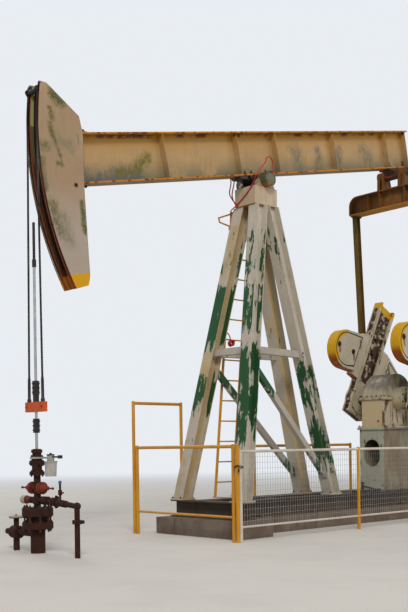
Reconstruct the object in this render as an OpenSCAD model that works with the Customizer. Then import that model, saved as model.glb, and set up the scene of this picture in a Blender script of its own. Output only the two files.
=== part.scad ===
// Walking beam pumpjack with horse head, crank and pitman drive, wellhead and guard fence.
// Units are millimetres. The origin is on the ground below the centre bearing.
// -X points to the well, +X to the drive, +Z up.

/* [Linkage] */
// Height of the centre bearing axis above the ground
pivot_h = 5240; // [5200:5:5280]
// Radius of the horse head face about the centre bearing
head_r = 3925; // [3905:5:3945]
// Distance from the centre bearing to the tail bearing
tail_arm = 3600; // [3580:5:3620]
// Slope of the walking beam as stored, rear end up, in degrees
rest_tilt = 12.5; // [12:0.1:13]
// Distance of the crankshaft behind the centre bearing
shaft_x = 3250; // [3230:5:3270]
// Height of the crankshaft above the ground
shaft_h = 2052; // [2040:1:2064]
// Distance from the crankshaft to the wrist pin
crank_throw = 1000; // [960:5:1040]
// Lean of the crank as stored, past the top, in degrees
rest_crank = 27; // [24:1:30]

/* [Walking beam] */
// Depth of the beam over both flanges
beam_d = 635; // [600:5:660]
// Width of the beam flanges
beam_w = 230; // [220:5:240]
// Thickness of the beam flanges
beam_tf = 22; // [18:1:26]
// Thickness of the beam web
beam_tw = 14; // [10:1:18]
// Height of the beam underside above the bearing line
beam_drop = 95; // [95:1:100]
// Length of the beam from the centre bearing to its rear end
beam_rear = 4020; // [3990:5:4040]
// Thickness of the stiffener plates
stiff_t = 12; // [8:1:16]

/* [Horse head] */
// Width of the horse head
head_w = 270; // [266:2:290]
// Thickness of the head side plates
cheek_t = 14; // [10:1:15]
// Height of the rims beside the rope track
rim_h = 12; // [8:1:16]
// Diameter of the bridle rope
rope_d = 28; // [24:1:30]
// Distance of each rope from the centre plane
rope_y = 104; // [100:1:104]

/* [Equalizer and pitmans] */
// Distance of the pitmans from the centre plane
pitman_y = 863; // [863:1:880]
// Width of a pitman along the beam
pitman_w = 110; // [90:5:130]
// Thickness of a pitman across the beam
pitman_t = 90; // [80:5:96]
// Drop from the tail bearing to the equalizer pins
eq_drop = 497; // [490:1:505]
// Depth of the equalizer beam
eq_d = 330; // [320:5:340]
// Width of the equalizer flanges
eq_w = 240; // [200:10:260]

/* [Cranks] */
// Distance from the crankshaft to the crank tip
crank_tip = 1955; // [1900:5:1965]
// Width of a crank
crank_w = 450; // [430:5:470]
// Thickness of a crank
crank_t = 150; // [146:2:160]
// Distance of the crank inner face from the centre plane
crank_y = 596; // [592:1:600]
// Thickness of a counterweight
weight_t = 180; // [172:1:184]
// Diameter of the crankshaft
shaft_d = 170; // [150:5:190]

/* [Samson post] */
// Width and depth of the leg section
leg_w = 200; // [190:2:206]
// Thickness of the leg plates
leg_t = 14; // [10:1:18]
// Distance of the front feet ahead of the centre bearing
foot_front_x = 1010; // [1000:2:1020]
// Distance of the front feet from the centre plane
foot_front_y = 624; // [610:2:640]
// Distance of the rear feet behind the centre bearing
foot_rear_x = 1310; // [1290:5:1330]
// Distance of the rear feet from the centre plane
foot_rear_y = 306; // [302:1:312]
// Height of the ties between the legs
tie_h = 2660; // [2600:10:2720]

/* [Base] */
// Height of the foundation
found_h = 240; // [220:5:250]
// Height of the skid beams
skid_d = 247; // [240:1:260]
// Rear end of the skid behind the centre bearing
skid_rear = 6200; // [6150:10:6300]

/* [Guard fence] */
// Height of the guard rail above the ground
fence_h = 1290; // [1200:5:1320]
// Distance of the side fences from the centre plane
fence_y = 1080; // [1070:2:1100]
// Distance of the front fence ahead of the centre bearing
fence_x = 1560; // [1540:5:1600]
// Length of one side fence bay
fence_bay = 2560; // [2500:10:2650]
// Diameter of the fence tubes
fence_d = 48; // [42:1:52]

/* [Wellhead] */
// Diameter of the polished rod
rod_d = 36; // [32:1:40]
// Height of the stuffing box top above the ground
box_h = 1264; // [1250:2:1280]
// Radius of the casing head flange
flange_r = 190; // [180:2:200]

/* [Hidden] */

$fn = 48;
seat = 0.3;                       // gap between curved faces that bear on each other
move_gap = 6;                     // gap between moving pieces that face each other
sink = 1;                         // how far a straight side starts inside the arc it runs into
skid_top = found_h + skid_d;
tail_x = tail_arm * cos(rest_tilt);
tail_z = pivot_h + tail_arm * sin(rest_tilt);
wrist_x = shaft_x + crank_throw * sin(rest_crank);
wrist_z = shaft_h + crank_throw * cos(rest_crank);
pin_x = tail_x + 33;
pin_z = tail_z - eq_drop;
pitman_lean = atan2(wrist_x - pin_x, pin_z - wrist_z);
pitman_len = norm([wrist_x - pin_x, pin_z - wrist_z]);
rope_r = head_r + rope_d / 2 + seat;
rod_x = -rope_r;
beam_top = beam_drop + beam_d;
head_half = head_w / 2;
face_t = 14;
channel_half = 62;
channel_deep = 46;
rim_r = head_r + rim_h;
anchor_a = 18.0;
bar_top = 1846;
bar_h = 122;
bar_bottom = bar_top - bar_h;
cap_x = 242;
cap_y = 205;
cap_bottom = pivot_h - 383;
cap_top = pivot_h - 112;
leg_top_x = 118;
leg_top_y = 156;
foot_t = 25;
tie_w = 90;
tie_d = 100;
diag_w = 72;
diag_d = 90;
brg_r = 110;
brg_bore = 60;
brg_in = 130;
brg_out = 300;

paint_cream = [0.87, 0.82, 0.68];
paint_white = [0.85, 0.84, 0.78];
paint_yellow = [0.85, 0.62, 0.10];
rust = [0.42, 0.24, 0.15];
dark = [0.13, 0.12, 0.11];
steel = [0.62, 0.62, 0.60];
concrete = [0.55, 0.50, 0.44];
hose_red = [0.65, 0.12, 0.10];

// I section of width w and depth d, upright along Y
module i_shape(w, d, tf, tw) {
  polygon([[-w / 2, -d / 2], [w / 2, -d / 2], [w / 2, -d / 2 + tf], [tw / 2, -d / 2 + tf],
    [tw / 2, d / 2 - tf], [w / 2, d / 2 - tf], [w / 2, d / 2], [-w / 2, d / 2],
    [-w / 2, d / 2 - tf], [-tw / 2, d / 2 - tf], [-tw / 2, -d / 2 + tf], [-w / 2, -d / 2 + tf]]);
}

// Carries its children from the Z axis onto the line from p to q, without twist
module along(p, q) {
  d = q - p;
  c = atan2(d[1], d[0]);
  translate(p)
    rotate([0, acos(d[2] / norm(d)), c])
      rotate([0, 0, -c])
        children();
}

// Round bar from p to q
module rod_between(p, q, r) {
  along(p, q)
    cylinder(h = norm(q - p), r = r);
}

// Bent line of round bar through the given points, with a small ball at each corner
module bent_line(pts, r) {
  for (i = [1 : len(pts) - 1]) rod_between(pts[i - 1], pts[i], r);
  for (i = [1 : len(pts) - 2]) translate(pts[i]) sphere(r + 1.5);
}

// Solid from a profile in the XZ plane between y0 and y1
module upright(y0, y1) {
  translate([0, y1, 0])
    rotate([90, 0, 0])
      linear_extrude(y1 - y0)
        children();
}

// Cylinder along Y
module ycyl(x, y0, y1, z, r) {
  translate([x, y1, z])
    rotate([90, 0, 0])
      cylinder(h = y1 - y0, r = r);
}

// Cylinder along X
module xcyl(x0, x1, y, z, r) {
  translate([x0, y, z])
    rotate([0, 90, 0])
      cylinder(h = x1 - x0, r = r);
}

module box(x0, x1, y0, y1, z0, z1) {
  translate([x0, y0, z0])
    cube([x1 - x0, y1 - y0, z1 - z0]);
}

module beam_frame() {
  translate([0, 0, pivot_h])
    rotate([0, -rest_tilt, 0])
      children();
}

module crank_frame() {
  translate([shaft_x, 0, shaft_h])
    rotate([0, rest_crank, 0])
      children();
}

module foundation() {
  color(concrete) {
    box(-1330, -650, -860, 860, 0, found_h);
    box(-650, skid_rear + 120, -490, 490, 0, found_h);
  }
}

module skid_rails() {
  color(paint_white)
    for (y = [-foot_rear_y, foot_rear_y])
      translate([-foot_front_x + 125, y, found_h + skid_d / 2])
        rotate([90, 0, 90])
          linear_extrude(skid_rear + foot_front_x - 125)
            i_shape(200, skid_d, 18, 12);
}

module skid_cross_beams() {
  color(paint_white) {
    translate([-foot_front_x, 760, found_h + skid_d / 2])
      rotate([90, 0, 0])
        linear_extrude(1520)
          i_shape(250, skid_d, 18, 14);
    for (x = [300, 2300, 4750, skid_rear - 80])
      box(x, x + 60, -foot_rear_y + 6, foot_rear_y - 6, found_h + 18, skid_top - 18);
  }
}

// Carries a section from the foot of a leg to the cap
module leg_sweep(sx, sy) {
  foot = leg_at(sx, sy, skid_top);
  head = leg_at(sx, sy, cap_bottom);
  u = (head - foot) / norm(head - foot);
  along(foot - 400 * u, head + 400 * u)
    rotate([0, 0, 90])
      linear_extrude(norm(head - foot) + 800)
        children();
}

module leg_solid(sx, sy) {
  foot = leg_at(sx, sy, skid_top);
  intersection() {
    leg_sweep(sx, sy) i_shape(leg_w, leg_w, leg_t, 10);
    box(-3000, 3000, -2000, 2000, skid_top + foot_t, cap_bottom);
  }
  w = sx < 0 ? 240 : 196;
  box(foot[0] - 140, foot[0] + 140, foot[1] - w / 2, foot[1] + w / 2, skid_top, skid_top + foot_t);
}

module leg_envelope(sx, sy) {
  leg_sweep(sx, sy) square(leg_w, center = true);
}

module leg_front_near() { color(paint_white) leg_solid(-1, -1); }
module leg_front_far() { color(paint_white) leg_solid(-1, 1); }
module leg_rear_near() { color(paint_white) leg_solid(1, -1); }
module leg_rear_far() { color(paint_white) leg_solid(1, 1); }

function leg_at(sx, sy, z) = let (
  foot = [sx < 0 ? -foot_front_x : foot_rear_x, sy * (sx < 0 ? foot_front_y : foot_rear_y), skid_top],
  head = [sx * leg_top_x, sy * leg_top_y, cap_bottom])
  foot + (head - foot) * (z - skid_top) / (cap_bottom - skid_top);

module front_tie() {
  x = leg_at(-1, 1, tie_h)[0];
  y = leg_at(-1, 1, tie_h)[1];
  difference() {
    box(x - tie_w / 2, x + tie_w / 2, -y - 20, y + 20, tie_h - tie_d / 2, tie_h + tie_d / 2);
    for (s = [-1, 1]) {
      leg_solid(-1, s);
      leg_sweep(-1, s) translate([s > 0 ? 0 : -leg_w, -leg_w / 2]) square(leg_w);
    }
  }
}

module side_tie(sy) {
  a = leg_at(-1, sy, tie_h);
  b = leg_at(1, sy, tie_h);
  d = b - a;
  difference() {
    translate(a)
      rotate([0, 0, atan2(d[1], d[0])])
        box(0, norm(d), -tie_w / 2, tie_w / 2, -tie_d / 2, tie_d / 2);
    leg_envelope(-1, sy);
    leg_envelope(1, sy);
  }
}

module ties() {
  color(paint_white) {
    front_tie();
    side_tie(-1);
    side_tie(1);
  }
}

module side_diagonal(sy) {
  a = leg_at(-1, sy, tie_h - 160);
  b = leg_at(1, sy, skid_top + 190);
  d = b - a;
  c = atan2(d[1], d[0]);
  difference() {
    translate(a)
      rotate([0, 0, c])
        rotate([0, atan2(-d[2], norm([d[0], d[1]])), 0])
          box(0, norm(d), -diag_w / 2, diag_w / 2, -diag_d / 2, diag_d / 2);
    leg_envelope(-1, sy);
    leg_envelope(1, sy);
  }
}

module diagonals() {
  color(paint_white) {
    side_diagonal(-1);
    side_diagonal(1);
  }
}

module post_cap() {
  color(paint_white)
    difference() {
      box(-cap_x, cap_x, -cap_y, cap_y, cap_bottom, cap_top);
      box(-cap_x + 20, cap_x - 20, -cap_y + 20, cap_y - 20, cap_bottom + 20, cap_top - 20);
    }
}

// Bearing barrel on a tapered pedestal, as on the far side
module pillow() {
  difference() {
    union() {
      ycyl(0, brg_in, brg_out, pivot_h, brg_r);
      translate([0, 0, pivot_h])
        upright(brg_in, cap_y - 5)
          polygon([[-190, cap_top - pivot_h], [190, cap_top - pivot_h], [190, cap_top - pivot_h + 30],
            [70, 70], [-70, 70], [-190, cap_top - pivot_h + 30]]);
    }
    ycyl(0, brg_in - 1, brg_out + 1, pivot_h, brg_bore + seat);
  }
}

module bearing_far() { color(paint_white) pillow(); }
module bearing_near() { color(paint_white) mirror([0, 1, 0]) pillow(); }

// The ladder leans on the far side of the post, with its rungs along X
ladder_half = 188;
ladder_pitch = 312;
ladder_first = 720;
ladder_low = skid_top + 12;
ladder_top = [pivot_h - 390, pivot_h - 600];
ladder_rungs = floor((ladder_top[1] - ladder_first) / ladder_pitch);
rail_r = 21;
function ladder_y(z) = 600 - 0.0504 * (z - skid_top);
function ladder_x(side, z) = -208 + 0.055 * z + side * ladder_half;
function ladder_at(side, z) = [ladder_x(side, z), ladder_y(z), z];
function tie_y(x) = let (a = leg_at(-1, 1, tie_h), b = leg_at(1, 1, tie_h))
  a[1] + (b[1] - a[1]) * (x - a[0]) / (b[0] - a[0]);

module ladder_rail(side, r) {
  difference() {
    rod_between(ladder_at(side, skid_top - 60), ladder_at(side, ladder_top[side < 0 ? 0 : 1]), r);
    box(-2000, 2000, 0, 2000, 0, ladder_low);
  }
}

// Bar across the far leg and the stub that carries the rail from it
module leg_bracket(side, z, w) {
  x = ladder_x(side, z);
  y = leg_at(side, 1, z)[1] + leg_w / 2;
  difference() {
    union() {
      box(leg_at(side, 1, z)[0] - w, leg_at(side, 1, z)[0] + w, y - 20, y + 20, z - 25, z + 25);
      box(x - 8, x + 8, y, ladder_y(z), z - 25, z + 25);
    }
    leg_envelope(side, 1);
  }
}

// Rails, with rungs, brackets and a hand hold cut just clear of them
module ladder() {
  color(paint_yellow) {
    for (side = [-1, 1]) ladder_rail(side, rail_r);
    difference() {
      union() {
        for (i = [0 : ladder_rungs]) {
          z = ladder_first + i * ladder_pitch;
          rod_between(ladder_at(-1, z), ladder_at(1, z), 11);
        }
        for (side = [-1, 1]) {
          x = ladder_x(side, tie_h);
          leg_bracket(side, pivot_h - 680, 110);
          difference() {
            box(x - 8, x + 8, tie_y(x), ladder_y(tie_h), tie_h - 30, tie_h + 30);
            side_tie(1);
          }
          foot = ladder_x(side, skid_top);
          box(foot - 30, foot + 30, foot_rear_y + 20, foot_front_y + 8, skid_top, ladder_low);
        }
        bent_line([ladder_at(-1, pivot_h - 415), ladder_at(-1, pivot_h - 525) - [280, 0, 0],
          ladder_at(-1, pivot_h - 585) - [255, 0, 0], ladder_at(-1, pivot_h - 620)], 12);
      }
      for (side = [-1, 1]) ladder_rail(side, rail_r + seat);
    }
  }
}

// Hose from the cap's far corner across its front, round the near bearing's top and on to its end face
module grease_line_post() {
  y = -brg_out - 16;
  r = 9;
  x0 = -cap_x - r - 9;
  loop_r = 78;
  loop_x = -34;
  loop_z = pivot_h + 225;
  end_x = loop_x + loop_r;
  end_z = pivot_h + 80;
  color(hose_red) {
    box(x0 - r, -cap_x, 135, 185, cap_bottom + 5, cap_bottom + 50);
    bent_line([[x0, 160, cap_bottom + 30], [x0 - 5, -128, pivot_h - 161], [-285, y, pivot_h + 36],
      [loop_x - loop_r, y, loop_z]], r);
    for (x = [loop_x - loop_r, end_x]) translate([x, y, loop_z]) sphere(r + 1.5);
    translate([loop_x, y, loop_z])
      rotate([90, 0, 0])
        rotate_extrude(angle = 180)
          translate([loop_r, 0])
            circle(r);
    bent_line([[end_x, y, loop_z - 1], [end_x, y, end_z], [end_x, -brg_out, end_z]], r);
  }
}

ped_top = shaft_h - 505;
ped_x0 = shaft_x - 470;
ped_x1 = shaft_x + 1250;
ped_half = 255;
split_z = shaft_h;
hs_x = shaft_x + 980;
hs_z = shaft_h + 40;
hs_r = 59;
sheave_r = 430;
sheave_y0 = -460;
sheave_y1 = -330;
motor_x = 5680;
motor_r = 210;
motor_z = skid_top + 420;
motor_sheave_r = 125;

module gearbox_pedestal() {
  color(paint_white)
    difference() {
      union() {
        box(ped_x0, ped_x1, -ped_half, ped_half, skid_top, ped_top - 30);
        box(ped_x0 - 30, ped_x1 + 30, -ped_half - 30, ped_half + 30, skid_top, skid_top + 25);
        box(ped_x0 - 30, ped_x1 + 30, -ped_half - 30, ped_half + 30, ped_top - 30, ped_top);
      }
      box(ped_x0 + 25, ped_x1 - 25, -ped_half + 25, ped_half - 25, skid_top - 1, ped_top - 55);
      xcyl(ped_x0 - 1, ped_x0 + 30, 0, skid_top + 560, 160);
      xcyl(ped_x0 - 1, ped_x0 + 30, 0, skid_top + 700, 160);
      box(ped_x0 - 1, ped_x0 + 30, -160, 160, skid_top + 560, skid_top + 700);
    }
}

module gear_case() {
  color(paint_cream)
    difference() {
      union() {
        box(ped_x0 - 25, ped_x1 + 25, -ped_half - 20, ped_half + 20, ped_top, ped_top + 30);
        box(ped_x0 + 15, ped_x1 - 20, -215, 215, ped_top + 30, split_z - 25);
        box(ped_x0 - 10, ped_x1 + 5, -250, 250, split_z - 25, split_z);
        difference() {
          ycyl(shaft_x, -400, 400, shaft_h, 200);
          box(shaft_x - 300, shaft_x + 300, -500, 500, split_z, split_z + 300);
        }
        for (x = [ped_x0 + 260, ped_x0 + 700, ped_x0 + 1150])
          for (y = [-245, 215])
            box(x, x + 20, y, y + 30, ped_top + 30, split_z - 25);
      }
      ycyl(shaft_x, -401, 401, shaft_h, shaft_d / 2 + seat);
      difference() {
        ycyl(hs_x, -300, 300, hs_z, hs_r + seat);
        box(hs_x - 100, hs_x + 100, -400, 400, split_z, split_z + 200);
      }
    }
}

module gear_cover() {
  color(paint_cream)
    difference() {
      union() {
        ycyl(shaft_x, -215, 215, shaft_h, 428);
        box(ped_x0 - 10, ped_x1 + 5, -250, 250, split_z, split_z + 25);
        box(shaft_x, ped_x1 - 60, -215, 215, split_z, shaft_h + 240);
        ycyl(shaft_x, -400, 400, shaft_h, 200);
      }
      box(ped_x0 - 400, ped_x1 + 400, -600, 600, split_z - 1000, split_z);
      ycyl(shaft_x, -401, 401, shaft_h, shaft_d / 2 + seat);
      ycyl(hs_x, -300, 300, hs_z, hs_r + seat);
    }
}

module unit_sheave() {
  color(rust) {
    ycyl(hs_x, sheave_y0 + 10, 430, hs_z, hs_r);
    difference() {
      ycyl(hs_x, sheave_y0, sheave_y1, hs_z, sheave_r);
      ycyl(hs_x, sheave_y0 - 1, sheave_y0 + 40, hs_z, sheave_r - 60);
      ycyl(hs_x, sheave_y1 - 40, sheave_y1 + 1, hs_z, sheave_r - 60);
      for (a = [0 : 60 : 300])
        translate([hs_x, 0, hs_z])
          rotate([0, a, 0])
            ycyl(240, sheave_y0 - 1, sheave_y1 + 1, 0, 85);
    }
    ycyl(hs_x, sheave_y0, sheave_y1, hs_z, 110);
  }
}

module brake_drum() {
  color(rust)
    difference() {
      ycyl(hs_x, 300, 420, hs_z, 210);
      ycyl(hs_x, 299, 421, hs_z, hs_r + seat);
      ycyl(hs_x, 340, 421, hs_z, 180);
    }
}

// Belts as one closed loop round both sheaves
belt_t = 14;
belt_d = norm([motor_x - hs_x, motor_z - hs_z]);
belt_a = atan2(motor_z - hs_z, motor_x - hs_x);
belt_b = asin((sheave_r - motor_sheave_r) / belt_d);

// Block of the outline round both sheaves, t outside them, in the frame of their centre line
module belt_block(t, y0, y1) {
  r1 = sheave_r + seat + t - sink;
  r2 = motor_sheave_r + seat + t - sink;
  ycyl(0, y0, y1, 0, r1 + sink);
  ycyl(belt_d, y0, y1, 0, r2 + sink);
  upright(y0, y1)
    polygon([[r1 * sin(belt_b), r1 * cos(belt_b)], [belt_d + r2 * sin(belt_b), r2 * cos(belt_b)],
      [belt_d, 0], [belt_d + r2 * sin(belt_b), -r2 * cos(belt_b)], [r1 * sin(belt_b), -r1 * cos(belt_b)], [0, 0]]);
}

module belt_frame() {
  translate([hs_x, 0, hs_z])
    rotate([0, -belt_a, 0])
      children();
}

module belts() {
  color(dark)
    belt_frame()
      difference() {
        belt_block(belt_t, sheave_y0 + 10, sheave_y1 - 10);
        belt_block(0, sheave_y0 + 9, sheave_y1 - 9);
      }
}

module motor_sheave() {
  color(rust)
    difference() {
      ycyl(motor_x, sheave_y0, sheave_y1, motor_z, motor_sheave_r);
      ycyl(motor_x, sheave_y0 - 1, sheave_y1 + 1, motor_z, 30 + seat);
    }
}

module motor() {
  color(paint_yellow) {
    ycyl(motor_x, -250, 330, motor_z, motor_r);
    ycyl(motor_x, 330, 370, motor_z, motor_r - 50);
    ycyl(motor_x, -290, -250, motor_z, motor_r - 60);
    ycyl(motor_x, sheave_y0 - 2, -290, motor_z, 30);
    for (y = [-240, 220])
      box(motor_x - 200, motor_x + 200, y, y + 70, motor_z - motor_r - 20, motor_z - motor_r + 80);
    box(motor_x - 150, motor_x + 60, -60, 140, motor_z + motor_r - 40, motor_z + motor_r + 70);
  }
}

module motor_base() {
  color(paint_white) {
    for (y = [-300, 210])
      box(motor_x - 330, motor_x + 330, y, y + 90, skid_top, motor_z - motor_r - 20);
    for (x = [motor_x - 330, motor_x + 290])
      box(x, x + 40, -210, 210, skid_top, skid_top + 120);
  }
}

// Guard plate outside the belts, on two posts
module belt_guard() {
  y0 = sheave_y0 - 31;
  color(paint_yellow) {
    belt_frame() belt_block(50, y0, y0 + 6);
    for (p = [[hs_x + 420, hs_z - 100], [motor_x - 60, motor_z]]) {
      box(p[0], p[0] + 50, y0 + 5, y0 + 25, skid_top, p[1]);
      box(p[0], p[0] + 50, y0 + 15, -foot_rear_y, skid_top, skid_top + 12);
    }
  }
}

// Latch lever on the near skid rail
module brake_latch() {
  y = -foot_rear_y;
  color(dark) {
    box(1900, 2340, y - 70, y + 70, skid_top, skid_top + 40);
    box(2090, 2130, y - 20, y + 20, skid_top + 40, skid_top + 165);
    rod_between([2110, y, skid_top + 95], [2500, y, skid_top + 24], 16);
    box(2440, 2560, y - 30, y + 30, skid_top, skid_top + 45);
  }
}

well_pipe_r = 43;
well_bore = rod_d / 2 + 0.5;
spool_bottom = 560;
tee_bottom = 950;
tee_h = 195;

module casing_head() {
  color(rust)
    difference() {
      union() {
        translate([rod_x, 0, 0]) cylinder(h = 370, r = 90);
        translate([rod_x, 0, 300]) cylinder(h = 75, r = flange_r);
        translate([rod_x, 0, 375]) cylinder(h = 80, r = 120);
        translate([rod_x, 0, 455]) cylinder(h = 95, r = flange_r);
        translate([rod_x, 0, 550]) cylinder(h = 10, r = 90);
        rod_between([rod_x, 80, 230], [rod_x, 330, 230], 38);
      }
      translate([rod_x, 0, 60]) cylinder(h = 600, r = well_bore);
    }
}

module tubing_spool() {
  color(rust)
    difference() {
      union() {
        translate([rod_x, 0, spool_bottom]) cylinder(h = tee_bottom - spool_bottom, r = well_pipe_r);
        translate([rod_x, 0, 600]) cylinder(h = 90, r = 58);
        rod_between([rod_x, -130, 645], [rod_x, 130, 645], 34);
      }
      translate([rod_x, 0, spool_bottom - 1]) cylinder(h = tee_bottom - spool_bottom + 2, r = well_bore);
    }
}

// Two bonneted valves with their stems, on the sides of the spool
module spool_valves() {
  color(rust) {
    for (s = [-1, 1]) {
      difference() {
        rod_between([rod_x, s * 20, 795], [rod_x, s * 76, 795], 40);
        translate([rod_x, 0, 700]) cylinder(h = 200, r = well_pipe_r + seat);
      }
      rod_between([rod_x, s * 75, 795], [rod_x, s * 122, 795], 76);
      translate([rod_x, s * 121, 795])
        rotate([-90 * s, 0, 0])
          cylinder(h = 95, r1 = 72, r2 = 24);
      rod_between([rod_x, s * 215, 795], [rod_x, s * 350, 795], 10);
    }
    rod_between([rod_x, 130 + seat, 645], [rod_x, 230, 645], 42);
    rod_between([rod_x, 229, 645], [rod_x, 315, 645], 52);
  }
}

module pumping_tee() {
  color(rust)
    difference() {
      union() {
        translate([rod_x, 0, tee_bottom]) cylinder(h = 45, r = 92);
        translate([rod_x, 0, tee_bottom + 45]) cylinder(h = tee_h - 45, r = 62);
        for (s = [-1, 1])
          rod_between([rod_x, 0, tee_bottom + 150], [rod_x, s * 118, tee_bottom + 150], 38);
      }
      translate([rod_x, 0, tee_bottom - 1]) cylinder(h = 300, r = well_bore);
    }
}

module stuffing_box() {
  color(rust)
    difference() {
      union() {
        translate([rod_x, 0, tee_bottom + tee_h]) cylinder(h = 35, r = 74);
        translate([rod_x, 0, tee_bottom + tee_h + 35]) cylinder(h = box_h - 40 - tee_bottom - tee_h - 35, r = 56);
        translate([rod_x, 0, box_h - 40]) cylinder(h = 40, r = 68);
      }
      translate([rod_x, 0, tee_bottom]) cylinder(h = 500, r = well_bore);
    }
}

// Leak pot on an arm that is clamped round the lower flange of the stuffing box
module leak_pot() {
  y = -300;
  z = tee_bottom + tee_h + 7;
  color(paint_white) {
    difference() {
      union() {
        translate([rod_x, 0, z]) cylinder(h = 22, r = 86);
        box(rod_x - 14, rod_x + 14, y, -78, z, z + 22);
      }
      translate([rod_x, 0, z - 1]) cylinder(h = 24, r = 74 + seat);
    }
    translate([rod_x, y, z - 212]) cylinder(h = 170, r1 = 66, r2 = 74);
    translate([rod_x, y, z - 43]) cylinder(h = 14, r = 80);
    translate([rod_x, y, z - 30]) cylinder(h = 82, r = 44);
  }
}

// Flow line from the spool to the elbow and down to the ground
module flow_line() {
  color(rust) {
    rod_between([rod_x, -130 - seat, 645], [rod_x, -230, 645], 52);
    rod_between([rod_x, -230, 645], [rod_x, -820, 600], 32);
    rod_between([rod_x, -330, 637.4], [rod_x, -410, 631.3], 52);
    rod_between([rod_x, -450, 628.2], [rod_x, -610, 616], 42);
    translate([rod_x, -490, 630]) cylinder(h = 235, r = 13);
    translate([rod_x, -490, 720]) cylinder(h = 60, r = 24);
    rod_between([rod_x, -490, 748], [rod_x, -560, 748], 9);
    translate([rod_x, -830, 600]) sphere(46);
    rod_between([rod_x, -830, 600], [rod_x, -830, 0], 32);
    rod_between([rod_x, -830, 395], [rod_x, -830, 440], 58);
  }
}

module side_valve() {
  color(rust) {
    rod_between([rod_x, 330 + seat, 230], [rod_x, 700, 230], 38);
    rod_between([rod_x, 420, 230], [rod_x, 560, 230], 80);
    translate([rod_x, 490, 0]) cylinder(h = 160, r = 40);
    translate([rod_x, 490, 300]) cylinder(h = 110, r = 34);
    translate([rod_x, 490, 405]) cylinder(h = 16, r = 90);
  }
}

fence_r = fence_d / 2;
front_x = -fence_x;

module post(x, y, h, r = fence_r) {
  translate([x, y, 0]) cylinder(h = h, r = r);
}

// Round rail from p to q, cut just clear of the posts it runs between
module rail(p, q, r, h) {
  difference() {
    rod_between(p, q, r);
    for (c = [p, q]) post(c[0], c[1], h + 100, fence_r + seat);
  }
}

top_rail_z = fence_h - fence_r;
low_rail_z = 330;
low_rail_r = 0.7 * fence_r;
end_y = fence_y - fence_d - 28;
frame_x1 = front_x + 940;
frame_h = 1950;
near_x0 = front_x + fence_d + 8;
near_rail_z = fence_h - 90;

// Short stubs that join two posts standing side by side
module links(p, q) {
  for (z = [300, 1100]) rail([p[0], p[1], z], [q[0], q[1], z], 10, fence_h);
}

module fence_front() {
  color(paint_yellow) {
    for (s = [-1, 1]) {
      post(front_x, s * end_y, fence_h);
      links([front_x, s * end_y], [front_x, s * fence_y]);
    }
    for (r = [[top_rail_z, fence_r - 1], [low_rail_z, low_rail_r]])
      rail([front_x, -end_y, r[0]], [front_x, end_y, r[0]], r[1], fence_h);
  }
}

// Tall open frame that stands in the far fence
module fence_tall_frame() {
  color(paint_yellow) {
    for (x = [front_x, frame_x1]) post(x, fence_y, frame_h);
    rail([front_x, fence_y, frame_h - fence_r], [frame_x1, fence_y, frame_h - fence_r], fence_r - 1, frame_h);
  }
}

module fence_far() {
  color(paint_yellow)
    for (i = [1 : 2]) {
      post(front_x + i * fence_bay, fence_y, fence_h);
      x = i == 1 ? frame_x1 : front_x + fence_bay;
      for (r = [[top_rail_z, fence_r - 1], [low_rail_z, low_rail_r]])
        rail([x, fence_y, r[0]], [front_x + i * fence_bay, fence_y, r[0]], r[1], frame_h);
    }
}

// White post and rails of the near fence
module fence_near() {
  color(paint_white) {
    post(near_x0, -fence_y, near_rail_z + fence_r);
    links([front_x, -fence_y], [near_x0, -fence_y]);
    for (i = [1 : 2]) {
      x = i == 1 ? near_x0 : front_x + fence_bay;
      for (r = [[near_rail_z, 0.8 * fence_r], [200, 0.6 * fence_r]])
        rail([x, -fence_y, r[0]], [front_x + i * fence_bay, -fence_y, r[0]], r[1], fence_h);
    }
  }
}

module fence_near_posts() {
  color(paint_yellow)
    for (i = [0 : 2]) post(front_x + i * fence_bay, -fence_y, i == 0 ? fence_h : near_rail_z + fence_r);
}

beam_front_top = -3198;
beam_front_bottom = -3322;
web_end = 3955;
stiff_s = [-1830, -379, 477, 1899, 3352];

module walking_beam() {
  color(paint_cream)
    beam_frame() {
      upright(-beam_tw / 2, beam_tw / 2)
        polygon([[beam_front_bottom, beam_drop + 1], [web_end, beam_drop + 1],
          [web_end, beam_top - 1], [beam_front_top, beam_top - 1]]);
      box(beam_front_bottom, beam_rear, -beam_w / 2, beam_w / 2, beam_drop, beam_drop + beam_tf);
      box(beam_front_top, beam_rear, -beam_w / 2, beam_w / 2, beam_top - beam_tf, beam_top);
      for (s = concat(stiff_s, [web_end - stiff_t]))
        box(s, s + stiff_t, -beam_w / 2 + 8, beam_w / 2 - 8, beam_drop + 1, beam_top - 1);
    }
}

// Saddle block bolted under the beam, with the centre shaft through it
module saddle() {
  color(dark)
    beam_frame() {
      ycyl(0, -brg_out, brg_out, 0, brg_bore);
      upright(-brg_in + 12, brg_in - 12)
        polygon([[-230, beam_drop], [230, beam_drop], [230, beam_drop - 35], [60, -80],
          [-60, -80], [-230, beam_drop - 35]]);
      upright(-95, 95)
        polygon([[-430, beam_drop], [-230, beam_drop], [-230, beam_drop - 60], [-400, beam_drop - 40]]);
    }
}

function head_pt(r, a) = [-r * cos(a), r * sin(a)];

// Outline of the head side, closed far outside its face
module head_outline() {
  polygon([[-4300, 1494 - 20], [-3615, 1318], [-3213, 919], [-3203, 711], [-3336, 52],
    [-3505, -1049], [-3557, -1169], [-4300, -1235]]);
}

module head_body(y0, y1, r) {
  intersection() {
    upright(y0, y1) head_outline();
    ycyl(0, y0 - 1, y1 + 1, 0, r, $fn = 360);
  }
}

// Curved plate between two radii about the centre bearing, as wide as the head between y0 and y1
module face_strip(y0, y1, r0, r1) {
  difference() {
    head_body(y0, y1, r1);
    ycyl(0, y0 - 2, y1 + 2, 0, r0, $fn = 360);
  }
}

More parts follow.
